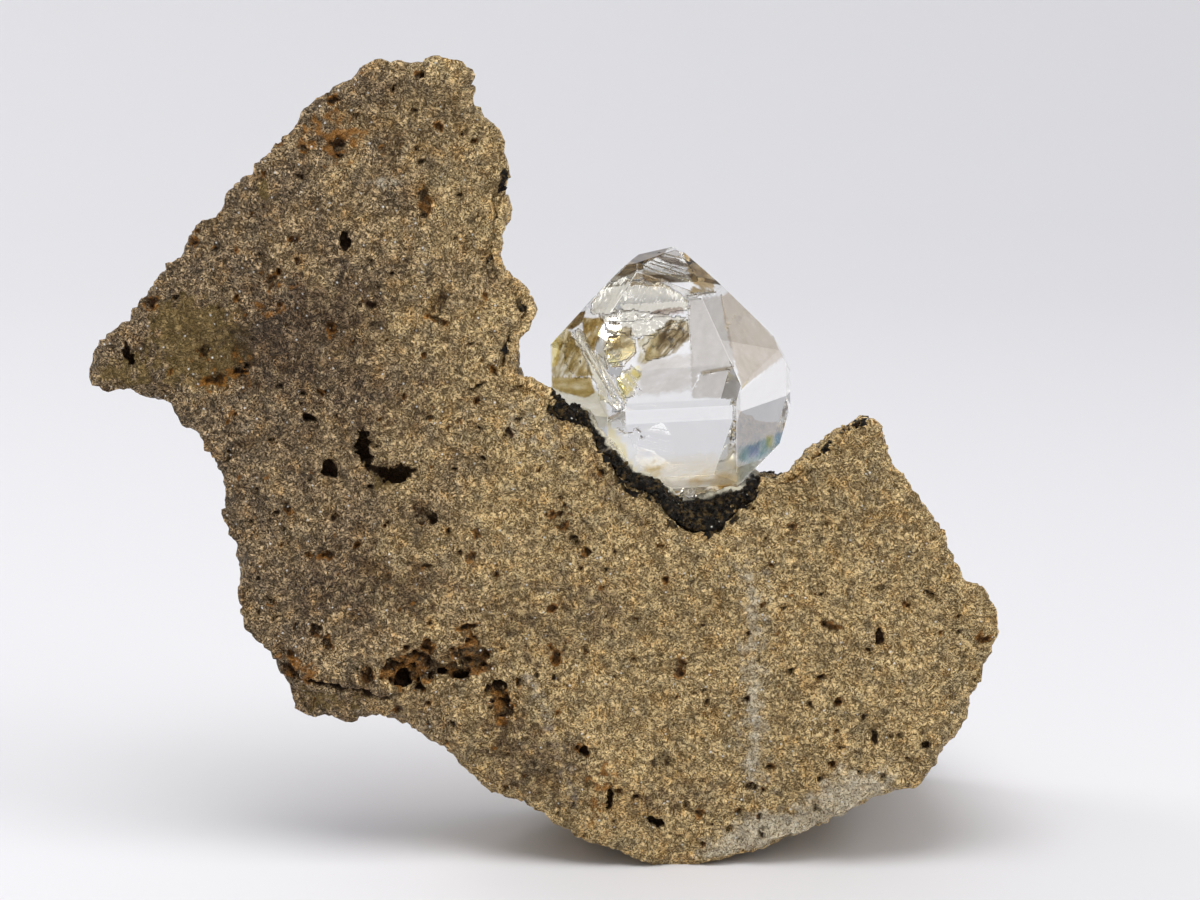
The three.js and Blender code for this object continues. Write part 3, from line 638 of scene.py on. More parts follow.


# Grains in shadow and grains in light, for the greyer rock and for the more golden rock, painted lighter.
GREY_SHADE = (0.038, 0.023, 0.010, 1)
GREY_LIGHT = (0.85, 0.61, 0.35, 1)
GOLD_SHADE = (0.135, 0.080, 0.024, 1)
GOLD_LIGHT = (1.00, 0.74, 0.37, 1)
WARMER = (1.0, 0.91, 0.78, 1)
COLDER = (0.74, 0.77, 0.83, 1)
# Deep rust, and also the painted shade inside the holes.
DEEP_RUST_AND_PIT_SHADE = (0.034, 0.014, 0.004, 1)
RUST_BRIGHT = (0.38, 0.155, 0.020, 1)
OLIVE = (0.24, 0.16, 0.045, 1)
CHALKY = (0.86, 0.78, 0.60, 1)
SOOT = (0.007, 0.005, 0.003, 1)
SOOT_BROWN = (0.11, 0.07, 0.024, 1)
GOLDEN_AND_LIT_FROM = -0.028         # the rock turns golden, and is painted lighter, from here to the right end
GOLDEN_AND_LIT_FULL = 0.022

sugar = sugar_group()
rough_skin = rough_skin_tree()


def sugary_colours(tree, place, grain):
    """The colours of the clean rock, from the parts of its grain pattern."""
    clouds = cloudy(tree, place, 4.5 * MM, 4.0)
    mottle = cloudy(tree, place, 0.9 * MM, 3.0)
    across = put(tree, "ShaderNodeSeparateXYZ", {0: place}).outputs["X"]
    golden_and_lit = maths(tree, "ADD", spread(tree, across, GOLDEN_AND_LIT_FROM, GOLDEN_AND_LIT_FULL), clouds)
    golden_and_lit = spread(tree, golden_and_lit, 0.45, 1.1)
    shade = mixed(tree, golden_and_lit, GREY_SHADE, GOLD_SHADE)
    light = mixed(tree, golden_and_lit, GREY_LIGHT, GOLD_LIGHT)
    lit = maths(tree, "POWER", grain.outputs["Stroke"], 1.9)
    tint = maths(tree, "MULTIPLY_ADD", grain.outputs["Tint"], 0.35, maths(tree, "MULTIPLY", mottle, 0.65))
    lit = maths(tree, "MULTIPLY", lit, spread(tree, tint, 0.25, 0.75, 0.45, 1.50))
    # Painted light: the strokes brighten toward the golden right end, as if that side caught more light.
    lit = maths(tree, "MULTIPLY", lit, maths(tree, "MULTIPLY_ADD", golden_and_lit, 0.70, 0.97))
    clean = mixed(tree, maths(tree, "MULTIPLY", lit, 1.0, clamp=True), shade, light)
    hue = cloudy(tree, vectors(tree, "ADD", place, (0.05, 0.02, 0.07)), 1.3 * MM, 5.0)
    warm = mixed(tree, 1.0, clean, WARMER, blend="MULTIPLY")
    cold = mixed(tree, 1.0, clean, COLDER, blend="MULTIPLY")
    clean = mixed(tree, spread(tree, hue, 0.52, 0.66), clean, warm)
    return mixed(tree, spread(tree, hue, 0.46, 0.34), clean, cold)


def dolostone_material():
    material, tree, surface = new_material("sugary dolostone")
    place = put(tree, "ShaderNodeTexCoord").outputs["Object"]
    grain = tree.nodes.new("ShaderNodeGroup")
    grain.node_tree = sugar
    tree.links.new(place, grain.inputs["Place"])
    grain.inputs["Grain"].default_value = GRAIN
    stroke = grain.outputs["Stroke"]
    clean = sugary_colours(tree, place, grain)
    mottle = cloudy(tree, place, 0.8 * MM, 4.0)
    breakup = maths(tree, "SUBTRACT", mottle, 0.5)

    def ragged(name, low=0.30, high=0.60, break_up=1.6):
        """Where a zone shows, broken up by the grain."""
        raw = attribute(tree, name)
        uneven = maths(tree, "MULTIPLY_ADD", breakup, break_up, raw)
        return maths(tree, "MULTIPLY", spread(tree, uneven, low, high), spread(tree, raw, 0.0, 0.2))

    rusty = mixed(tree, spread(tree, mottle, 0.42, 0.60), DEEP_RUST_AND_PIT_SHADE, RUST_BRIGHT)
    rusty = mixed(tree, 1.0, rusty, maths(tree, "MULTIPLY_ADD", stroke, 0.9, 0.5), blend="MULTIPLY")
    olive = mixed(tree, 1.0, OLIVE, maths(tree, "MULTIPLY_ADD", stroke, 1.0, 0.4), blend="MULTIPLY")
    colour = mixed(tree, maths(tree, "MULTIPLY", ragged("olive"), 0.75), clean, olive)
    chalk = maths(tree, "MULTIPLY", ragged("pale", 0.1, 0.8), maths(tree, "POWER", stroke, 0.8))
    colour = mixed(tree, chalk, colour, CHALKY)
    # Painted shade in part: the dark zones darken the face where it is recessed and where it turns from the
    # light.
    darker = mixed(tree, 1.0, colour, (0.50, 0.47, 0.48, 1), blend="MULTIPLY")
    colour = mixed(tree, ragged("dark", 0.1, 0.6), colour, darker)
    colour = mixed(tree, maths(tree, "MULTIPLY", ragged("rust"), 0.8), colour, rusty)
    specks = spread(tree, cloudy(tree, place, 0.55 * MM, 2.0), 0.66, 0.72)
    colour = mixed(tree, maths(tree, "MULTIPLY", specks, 0.55), colour, DEEP_RUST_AND_PIT_SHADE)
    # Painted shade: the holes are darkened toward deep brown-black by their shade attribute.
    shaded = maths(tree, "MULTIPLY", ragged("shade", 0.25, 0.75, 1.2), 0.95)
    colour = mixed(tree, shaded, colour, DEEP_RUST_AND_PIT_SHADE)
    glints = maths(tree, "MULTIPLY", grain.outputs["Glint"], 0.9)
    glints = maths(tree, "MULTIPLY", glints, maths(tree, "SUBTRACT", 1.0, shaded))
    colour = mixed(tree, glints, colour, (1, 0.97, 0.9, 1))
    sooty = mixed(tree, spread(tree, mottle, 0.50, 0.60), SOOT, SOOT_BROWN)
    colour = mixed(tree, ragged("soot", 0.35, 0.5, 1.3), colour, sooty)
    tree.links.new(colour, surface.inputs["Base Color"])

    surface.inputs["Specular IOR Level"].default_value = 0.25
    roughness = spread(tree, grain.outputs["Tint"], 0.0, 1.0, 0.40, 0.85)
    tree.links.new(roughness, surface.inputs["Roughness"])
    bump = put(
        tree,
        "ShaderNodeBump",
        {"Height": grain.outputs["Height"], "Strength": 1.0, "Distance": 0.27 * MM},
    )
    tree.links.new(bump.outputs[0], surface.inputs["Normal"])
    return material


grow(
    slab,
    rough_skin,
    neighbour=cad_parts["quartz_crystal"],
    clearance=1.0 * MM,
    lump_size=2.2 * MM,
    lump_height=0.70 * MM,
    grain_size=0.70 * MM,
    grain_height=0.42 * MM,
    material=dolostone_material(),
)
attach(slab, "root")
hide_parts("dolostone_matrix")

# ---------------------------------------------------------------------------------------------
# The black druse: what is left of the cavity's lining, a crust of tiny quartz crystals drowned
# in tar-black residue. It grew on the rock before the crystal did, and holds the crystal.

DRUSE_SKIN = 0.24 * MM
DRUSE_BLACK = (0.006, 0.004, 0.002, 1)
DRUSE_BROWN = (0.10, 0.064, 0.022, 1)
# Pale gold of the lining: iron stain where the crystal sat close, and painted light where the crystal hides it
# from the camera.
SOCKET_STAIN_AND_LIGHT = (0.90, 0.83, 0.64, 1)
SOCKET_REACH = 0.7 * MM      # the lining is iron-stained where the crystal sat this close
BLACK_REACH = 1.7 * MM       # farther from the crystal than this the black has flaked off
ROCK_LAP = 0.40 * MM         # how far the lining grips into the rock, and into the crystal
CRYSTAL_LAP = 0.24 * MM
CRYSTALS_PER_MM2 = 4.0
SMALLEST = 0.15 * MM
LARGEST = 0.40 * MM


def druse_material():
    material, tree, surface = new_material("black druse")
    place = put(tree, "ShaderNodeTexCoord").outputs["Object"]
    grain = tree.nodes.new("ShaderNodeGroup")
    grain.node_tree = sugar
    tree.links.new(place, grain.inputs["Place"])
    grain.inputs["Grain"].default_value = GRAIN
    mottle = cloudy(tree, place, 0.8 * MM, 3.0)
    fleck = cloudy(tree, place, 0.45 * MM, 4.0)
    colour = mixed(tree, spread(tree, fleck, 0.50, 0.68), DRUSE_BLACK, DRUSE_BROWN)
    glints = maths(tree, "MULTIPLY", grain.outputs["Glint"], 0.9)
    colour = mixed(tree, glints, colour, (0.8, 0.8, 0.7, 1))
    bare = spread(tree, maths(tree, "MULTIPLY_ADD", mottle, 1.0, attribute(tree, "bare")), 0.80, 1.10)
    colour = mixed(tree, bare, colour, sugary_colours(tree, place, grain))
    # Iron stain and painted light: pale gold where the crystal sat close or hides the lining from the camera.
    colour = mixed(tree, attribute(tree, "stained_and_lit"), colour, SOCKET_STAIN_AND_LIGHT)
    tree.links.new(colour, surface.inputs["Base Color"])
    surface.inputs["Specular IOR Level"].default_value = 0.22
    roughness = spread(tree, grain.outputs["Tint"], 0.0, 1.0, 0.25, 0.7)
    tree.links.new(roughness, surface.inputs["Roughness"])
    bump = put(
        tree,
        "ShaderNodeBump",
        {"Height": grain.outputs["Height"], "Strength": 0.8, "Distance": 0.15 * MM},
    )
    tree.links.new(bump.outputs[0], surface.inputs["Normal"])
    return material


def gaps_to(places, node, limit):
    """How far each place is from the surface of a CAD node, up to the limit."""
    bm = bmesh.new()
    bm.from_mesh(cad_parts[node].data)
    tree = BVHTree.FromBMesh(bm)
    bm.free()
    found = [tree.find_nearest(place, limit)[3] for place in places.tolist()]
    return np.array([limit if gap is None else gap for gap in found])


def covered_by(places, node):
    """1 where a CAD node hides the place from the camera, else 0."""
    bm = bmesh.new()
    bm.from_mesh(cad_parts[node].data)
    tree = BVHTree.FromBMesh(bm)
    bm.free()
    eye = camera.location
    return np.array([
        float(tree.ray_cast(Vector(place), (eye - Vector(place)).normalized())[0] is not None)
        for place in places.tolist()
    ])


def scattered_crystals_tree():
    """Stands a small crystal at random places of a surface, where its soot attribute is high."""
    tree, ins, end = new_tree(
        "scattered crystals",
        "GeometryNodeTree",
        {
            "Geometry": ("Geometry", None),
            "Crystal": ("Object", None),
            "Density": ("Float", 5e6),
            "Smallest": ("Float", 0.2 * MM),
            "Largest": ("Float", 0.5 * MM),
            "Tilt": ("Float", 0.7),
            "Seed": ("Int", 1),
            "Material": ("Material", None),
        },
        {"Geometry": "Geometry"},
    )
    soot = put(tree, "GeometryNodeInputNamedAttribute", {"Name": "soot"}, data_type="FLOAT").outputs[0]
    density = maths(tree, "MULTIPLY", ins["Density"], maths(tree, "POWER", soot, 3.0))
    points = put(
        tree,
        "GeometryNodeDistributePointsOnFaces",
        {"Mesh": ins["Geometry"], "Density": density, "Seed": ins["Seed"]},
        distribute_method="RANDOM",
    )
    lean = put(tree, "ShaderNodeCombineXYZ", {0: ins["Tilt"], 1: ins["Tilt"], 2: math.pi}).outputs[0]
    lean_back = vectors(tree, "SCALE", lean, -1.0)
    turn = put(
        tree,
        "FunctionNodeRandomValue",
        {"Min": lean_back, "Max": lean, "Seed": ins["Seed"]},
        data_type="FLOAT_VECTOR",
    ).outputs[0]
    turn = put(tree, "FunctionNodeEulerToRotation", {0: turn}).outputs[0]
    turn = put(
        tree,
        "FunctionNodeRotateRotation",
        {"Rotation": points.outputs["Rotation"], "Rotate By": turn},
        rotation_space="LOCAL",
    ).outputs[0]
    size = tree.nodes.new("FunctionNodeRandomValue")
    size.data_type = "FLOAT"
    tree.links.new(ins["Smallest"], size.inputs[2])
    tree.links.new(ins["Largest"], size.inputs[3])
    tree.links.new(ins["Seed"], size.inputs["Seed"])
    crystal = put(tree, "GeometryNodeObjectInfo", {"Object": ins["Crystal"]}).outputs["Geometry"]
    stood = put(
        tree,
        "GeometryNodeInstanceOnPoints",
        {"Points": points.outputs["Points"], "Instance": crystal, "Rotation": turn, "Scale": size.outputs[1]},
    ).outputs[0]
    real = put(tree, "GeometryNodeRealizeInstances", {0: stood}).outputs[0]
    dressed = put(
        tree, "GeometryNodeSetMaterial", {"Geometry": real, "Material": ins["Material"]}
    ).outputs[0]
    tree.links.new(dressed, end.inputs[0])
    return tree


def small_crystal():
    """A six-sided prism one unit across, ended by a pyramid, with its foot just below ground."""
    bm = bmesh.new()
    rings = []
    for height in (-0.3, 0.35):
        rings.append([
            bm.verts.new((0.5 * math.cos(i * math.pi / 3), 0.5 * math.sin(i * math.pi / 3), height))
            for i in range(6)
        ])
    tip = bm.verts.new((0.05, 0.03, 0.85))
    bm.faces.new(reversed(rings[0]))
    for i in range(6):
        j = (i + 1) % 6
        bm.faces.new((rings[0][i], rings[0][j], rings[1][j], rings[1][i]))
        bm.faces.new((rings[1][i], rings[1][j], tip))
    mesh = bpy.data.meshes.new("small crystal")
    bm.to_mesh(mesh)
    bm.free()
    return bpy.data.objects.new("small_crystal", mesh)


def crystals_on(ground, name, seed, material):
    """The small crystals that stand on a piece, as a piece of their own."""
    piece = bpy.data.objects.new(name, ground.data.copy())
    bpy.context.scene.collection.objects.link(piece)
    grow(
        piece,
        scattered_crystals,
        crystal=one_crystal,
        density=CRYSTALS_PER_MM2 / MM ** 2,
        smallest=SMALLEST,
        largest=LARGEST,
        seed=seed,
        material=material,
    )
    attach(piece, "root")
    return piece


scattered_crystals = scattered_crystals_tree()
one_crystal = small_crystal()
bpy.context.scene.collection.objects.link(one_crystal)
tarry = druse_material()
druse = clean_copy("vug_crust", "black_druse")
even_skin(druse, DRUSE_SKIN)
places, normals = corners(druse.data)
gaps = gaps_to(places, "quartz_crystal", 5 * MM)
socket = smooth((SOCKET_REACH - gaps) / (0.3 * MM)) * (normals[:, 1] > -0.75)
# Painted light: wherever the crystal hides the lining from the camera, the lining is made pale gold too, for the
# light coming through the crystal.
socket = np.maximum(socket, covered_by(places, "quartz_crystal"))
write(druse.data, "stained_and_lit", socket)
black_reach = BLACK_REACH + 1.6 * MM * smooth((32 * MM - places[:, 2]) / (2 * MM))
bare = np.maximum(smooth((gaps - black_reach) / (0.9 * MM)), smooth((places[:, 2] / MM - 38.5) / 1.5))
facing_eye = smooth((normals @ np.array(toward_eye)) / 0.3)
bare = bare * (1 - facing_eye) + (1 - tarred(places)) * facing_eye
write(druse.data, "bare", bare)
off_crystal = smooth((gaps - 0.5 * MM) / (0.3 * MM)) * (1 - covered_by(places, "quartz_crystal"))
write(druse.data, "soot", off_crystal * (1 - bare))
rock_gaps = gaps_to(places, "dolostone_matrix", 1 * MM)
into_rock = ROCK_LAP * smooth((0.7 * MM - rock_gaps) / (0.3 * MM))
into_crystal = CRYSTAL_LAP * smooth((0.5 * MM - gaps) / (0.2 * MM))
write(druse.data, "hollow", -np.maximum(into_rock, into_crystal))
grow(
    druse,
    rough_skin,
    neighbour=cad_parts["quartz_crystal"],
    clearance=0.3 * MM,
    lump_size=1.2 * MM,
    lump_height=0.35 * MM,
    grain_size=0.6 * MM,
    grain_height=0.35 * MM,
    material=tarry,
)
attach(druse, "root")
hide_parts("vug_crust")
crystals_on(druse, "druse_crystals", 3, tarry)
crystals_on(slab, "rim_crystals", 5, tarry)
bpy.data.objects.remove(one_crystal)

# ---------------------------------------------------------------------------------------------
# The crystal: water-clear quartz, short and ended at both ends, grown freely in the cavity. Its
# natural faces are glassy, with a few growth steps, and old cracks inside shine like silver.

EDGE_ROUNDING = 0.035 * MM
QUARTZ_IOR = 1.544
BUSY_CUT = 0.14 * MM         # mesh size of the forward faces where the flaws are
FRONT_CUT = 0.26 * MM
BACK_CUT = 1.5 * MM
BUSY_TO = 7.3                # the flaws lie left of this and above the next, as the eye sees it
BUSY_FROM = 3.3
FROST = 0.35                 # roughness of the hidden faces that grew against the lining
FROST_TOP = 31.5 * MM

# Places on and in the crystal are given as the eye meets them: millimetres to the right of the
# camera's aim point, and up from it. A share is how much red, green and blue comes through.

# Iron stain and films, and painted shade where the dark rock and lining show through the faces:
# share, ragged edge, soft edge, mottling, the direction of its streaks in degrees, and the patch's corners.
STAINS_AND_SHADE = [
    # left edge: a yellow strip, golden olive and brown above it, pale streaks beyond
    (
        (1.0, 0.88, 0.48), 0.06, 0.08, 0.5, 85,
        [(-3.7, 8.8), (-3.2, 9), (-3, 8), (-3.3, 6.5), (-3.7, 6.4)],
    ),
    ((0.76, 0.66, 0.43), 0.08, 0.1, 0.5, 50, [(-3.7, 8.8), (-2.6, 9.5), (-2.3, 9.1), (-3.1, 7.9)]),
    (
        (0.21, 0.14, 0.06), 0.06, 0.05, 0.5, 50,
        [(-2.6, 9.4), (-1.8, 10.5), (-1.1, 10.7), (-1.4, 9.8), (-2.2, 9.2)],
    ),
    (
        (0.97, 0.97, 0.97), 0.2, 0.2, 1.5, 70,
        [(-1.6, 10.8), (-0.1, 12.3), (0.6, 12.9), (1.2, 12.8), (0.4, 10.8), (-1.1, 10.4)],
    ),
    # the olive face at the left, and the paler one under it
    (
        (0.52, 0.43, 0.24), 0.15, 0.06, 0.9, 60,
        [(-3.2, 7.9), (-2.3, 9.1), (-1.1, 6.9), (-0.5, 5.7), (-3.7, 5.6), (-3.7, 6.5)],
    ),
    (
        (0.53, 0.41, 0.18), 0.05, 0.05, 0.35, 0,
        [(-3.7, 5.6), (-0.7, 5.6), (-0.4, 4.4), (-1.1, 4), (-2.8, 4.4), (-3.7, 4.8)],
    ),
    (
        (0.8, 0.76, 0.62), 0.1, 0.1, 0.4, 0,
        [(-3.8, 4.8), (-0.3, 4.5), (0.3, 4), (0.9, 1.9), (0, 1.7), (-1.9, 2.9)],
    ),
    # amber and gold around the fractures
    (
        (0.44, 0.32, 0.13), 0.12, 0.06, 0.7, 60,
        [(-1.3, 10.2), (0.3, 10.2), (0, 8.7), (-0.4, 7.5), (-1, 8), (-1.4, 9.4)],
    ),
    (
        (1.0, 0.94, 0.6), 0.04, 0.04, 0.3, 0,
        [(0.4, 7.6), (1.4, 7.8), (1.5, 6.9), (1.9, 6.6), (1.9, 6.5), (0.9, 6.4)],
    ),
    (
        (1.0, 0.94, 0.76), 0.06, 0.05, 0.8, 60,
        [(1.4, 7.9), (2.6, 8.1), (2.8, 7.5), (2.3, 6.9), (1.9, 6.7), (1.5, 6.9)],
    ),
    (
        (0.64, 0.57, 0.43), 0.25, 0.1, 1.4, 20,
        [(0.1, 8.8), (1.2, 9.5), (2.3, 9.4), (2.7, 8.1), (1.4, 7.8), (0.4, 7.6)],
    ),
    ((0.95, 0.92, 0.8), 0.06, 0.06, 0.5, 70, [(-0.4, 7.3), (0.4, 7.7), (0.7, 6.3), (0.3, 6.1)]),
    (
        (0.97, 0.91, 0.56), 0.08, 0.05, 1, -42,
        [(1.2, 5.3), (2.9, 6.5), (3.4, 5.8), (2.5, 4.7), (1.9, 3.8)],
    ),
    # the brown cloud and the mauve film above it
    ((0.62, 0.55, 0.36), 0.2, 0.08, 1.3, 60, [(2.9, 8.5), (4.4, 9.2), (4.5, 7.1), (3.1, 6.7)]),
    (
        (0.38, 0.31, 0.19), 0.2, 0.08, 1.3, 50,
        [(4.4, 9.2), (5.4, 10), (6.8, 9.8), (6.9, 8.8), (5.9, 7.5), (4.4, 7)],
    ),
    (
        (0.54, 0.46, 0.42), 0.1, 0.05, 0.5, 0,
        [(3.8, 10.5), (4.4, 10.8), (6.4, 11), (6.4, 10.5), (4.7, 10.3)],
    ),
    # the dark faces around the top, painted shade where the dark rock shows through, and the dark bands of its
    # pane
    (
        (0.20, 0.14, 0.07), 0.04, 0.04, 0.4, -12,
        [(2.3, 14.5), (2.9, 15.3), (5.4, 15.8), (4.9, 15.0), (3.4, 14.3)],
    ),
    (
        (0.27, 0.19, 0.09), 0.06, 0.05, 0.4, 20,
        [(0.9, 13), (2.5, 14.7), (3.4, 14.5), (3.2, 12.8), (1.7, 13.3)],
    ),
    (
        (0.27, 0.23, 0.19), 0.04, 0.03, 0.3, -20,
        [(4.6, 15), (6, 14.7), (6.7, 14.3), (6.7, 14), (5.4, 14.3), (4.5, 14.7)],
    ),
    (
        (0.62, 0.52, 0.38), 0.05, 0.04, 0.4, -15,
        [(3.3, 14.1), (4.4, 13.6), (6.9, 12.9), (6.8, 12.2), (5.5, 12.5), (4.1, 12.8), (3.3, 12.7)],
    ),
    (
        (0.53, 0.38, 0.18), 0.05, 0.04, 0.5, -45,
        [(6.3, 15.3), (6.8, 15.1), (8.9, 13), (8.7, 12.3), (7.1, 12.8), (6.8, 13.8)],
    ),
    ((0.46, 0.37, 0.22), 0.03, 0.04, 0.4, 0, [(7.1, 12.6), (8.9, 12.2), (6.8, 12)]),
    # painted shade: the warm grey face and window at the right, where the rock behind shows through
    ((0.70, 0.63, 0.54), 0.05, 0.05, 0.2, -60, [(9.3, 11.8), (10.1, 12.3), (14.4, 7.4), (10.9, 4.8), (9.8, 8.8)]),
    ((0.70, 0.67, 0.63), 0.05, 0.08, 0.2, 80, [(6.8, 11.5), (9.3, 11.9), (10.1, 8.5), (10.6, 4.0), (7.1, 4.0)]),
    ((0.92, 0.91, 0.90), 0.05, 0.20, 0.1, 80, [(10.6, 4.2), (14.5, 7.6), (14.6, 3.5), (13.9, 1.2), (10.6, 0.2)]),
    ((0.78, 0.75, 0.71), 0.20, 0.50, 0.3, 20, [(3.0, 6.9), (7.1, 7.3), (7.1, 4.6), (3.0, 4.2)]),
    # rainbow film in a crack at the lower right
    (
        (0.55, 0.72, 0.74), 0.10, 0.12, 0.7, 60,
        [(10.6, 0.1), (14.2, 1.4), (13.8, 0.4), (12.8, -0.5), (11.7, -0.9), (10.7, -0.9)],
    ),
    ((0.80, 0.74, 0.98), 0.15, 0.30, 0.3, 60, [(11.4, 0.3), (12.3, 0.5), (12.1, -0.4), (11.5, -0.5)]),
    ((1.0, 0.90, 0.45), 0.10, 0.15, 0.2, 60, [(12.8, 1.1), (13.3, 1.2), (13.2, 0.2), (12.8, 0.2)]),
    ((0.52, 0.72, 0.92), 0.10, 0.20, 0.3, 60, [(13.5, 1.3), (14.2, 1.5), (13.9, 0.5), (13.5, 0.4)]),
    (
        (0.66, 0.68, 0.60), 0.10, 0.20, 0.3, 0,
        [(10.5, -0.8), (11.7, -0.9), (12.8, -0.5), (11.8, -1.5), (10.6, -2.6)],
    ),
    # gold where it touches the lining
    ((1.0, 0.93, 0.68), 0.10, 0.15, 0.3, 0, [(0.6, 2.0), (1.7, 0.8), (2.3, -0.8), (1.4, -0.4), (0.6, 0.8)]),
    ((1.0, 0.93, 0.66), 0.10, 0.15, 0.3, 0, [(1.8, 0.6), (2.9, -1.6), (4.1, -3.3), (3.2, -3.5), (2.0, -1.5)]),
    # yellow-brown wash low on the prism face
    ((0.95, 0.89, 0.76), 0.30, 1.20, 0.4, 0, [(2.9, -0.8), (10.8, -0.4), (10.6, -3.6), (3.6, -3.6)]),
    ((0.86, 0.74, 0.52), 0.40, 0.70, 0.9, 0, [(6.4, -2.0), (10.8, -1.5), (10.6, -3.4), (7.4, -3.4)]),
    ((0.88, 0.80, 0.62), 0.40, 0.50, 1.2, 20, [(3.4, -1.3), (4.8, -1.0), (4.6, -2.4), (3.8, -2.6)]),
]

# Frosted patches on the forward faces, along the contact and in a chip beside it.
FROSTED = [
    [(0.3, 2.2), (1.6, 2.4), (3.0, -0.2), (2.4, -0.8), (0.2, 1.2)],
    [(1.4, 0.5), (2.6, -0.3), (4.2, -3.2), (3.2, -3.4), (2.2, -1.2)],
]

# Grooves in the faces, which are growth steps, nicks and cracks that reach the surface: start,
# end, width and depth in millimetres, and share.
GROOVES = [
    ((7.9, 5.95), (10.15, 6.4), 0.36, 0.16, (0.42, 0.36, 0.26)),
    ((7.75, 5.9), (7.1, 4.7), 0.12, 0.06, (0.98, 0.98, 0.98)),
    ((6.7, 11.85), (8.9, 12.15), 0.13, 0.06, (0.30, 0.25, 0.17)),
    ((9.35, 11.9), (9.8, 9.4), 0.14, 0.06, (0.52, 0.42, 0.30)),
    ((9.6, 9.5), (9.8, 9.2), 0.12, 0.05, (0.70, 0.60, 0.45)),
    ((10.9, 4.7), (11.4, 5.4), 0.14, 0.05, (0.75, 0.64, 0.40)),
    ((7.4, -3.25), (10.3, -3.2), 0.10, 0.04, (0.66, 0.54, 0.38)),
    ((2.85, 1.65), (3.1, 1.4), 0.17, 0.06, (0.20, 0.16, 0.12)),
    ((3.15, 1.1), (3.25, 0.95), 0.13, 0.05, (0.20, 0.16, 0.12)),
    ((-0.85, 2.9), (-0.5, 2.5), 0.14, 0.05, (0.30, 0.26, 0.18)),
    ((1.3, 1.7), (1.9, 1.25), 0.11, 0.05, (0.45, 0.38, 0.28)),
    ((1.9, 1.25), (2.5, 1.35), 0.11, 0.05, (0.45, 0.38, 0.28)),
    ((-2.1, 9.0), (1.5, 3.6), 0.16, 0.09, (0.95, 0.92, 0.84)),
    ((-1.7, 9.2), (2.0, 3.6), 0.18, 0.10, (0.90, 0.84, 0.66)),
    ((-1.2, 7.6), (1.0, 4.0), 0.14, 0.08, (0.60, 0.54, 0.42)),
    ((-0.9, 7.7), (1.6, 4.0), 0.12, 0.08, (0.96, 0.93, 0.86)),
    ((1.8, 5.9), (3.0, 4.2), 0.10, 0.06, (1.0, 0.98, 0.94)),
    ((2.1, 6.1), (3.2, 4.6), 0.10, 0.06, (1.0, 0.98, 0.94)),
    ((1.5, 5.6), (2.6, 4.1), 0.10, 0.06, (1.0, 0.98, 0.94)),
    ((6.7, 11.3), (7.0, 7.6), 0.10, 0.04, (0.90, 0.88, 0.84)),
    ((0.9, 6.4), (1.9, 6.45), 0.11, 0.05, (0.32, 0.22, 0.10)),
    ((1.9, 6.6), (2.8, 7.5), 0.09, 0.05, (0.42, 0.32, 0.16)),
    ((2.8, 7.5), (2.65, 8.2), 0.08, 0.05, (0.42, 0.32, 0.16)),
    ((0.35, 7.2), (0.6, 6.2), 0.12, 0.06, (0.34, 0.27, 0.15)),
    ((-1.1, 8.2), (-0.8, 7.8), 0.12, 0.05, (0.18, 0.13, 0.08)),
    ((2.4, 9.4), (2.35, 8.9), 0.13, 0.06, (0.14, 0.12, 0.10)),
    ((9.7, 9.5), (10.4, 10.4), 0.08, 0.04, (0.80, 0.70, 0.50)),
    ((4.5, 15.2), (6.3, 14.75), 0.08, 0.05, (0.60, 0.50, 0.34)),
    ((3.9, 14.6), (6.8, 13.75), 0.08, 0.05, (0.45, 0.38, 0.30)),
    ((3.9, 14.35), (6.8, 13.4), 0.08, 0.05, (0.60, 0.52, 0.40)),
    ((5.0, 13.85), (6.8, 13.2), 0.07, 0.04, (0.75, 0.70, 0.60)),
    ((3.35, 14.2), (4.4, 13.75), 0.09, 0.05, (0.55, 0.45, 0.28)),
    ((4.4, 13.75), (6.9, 13.0), 0.10, 0.06, (1.0, 0.92, 0.66)),
]

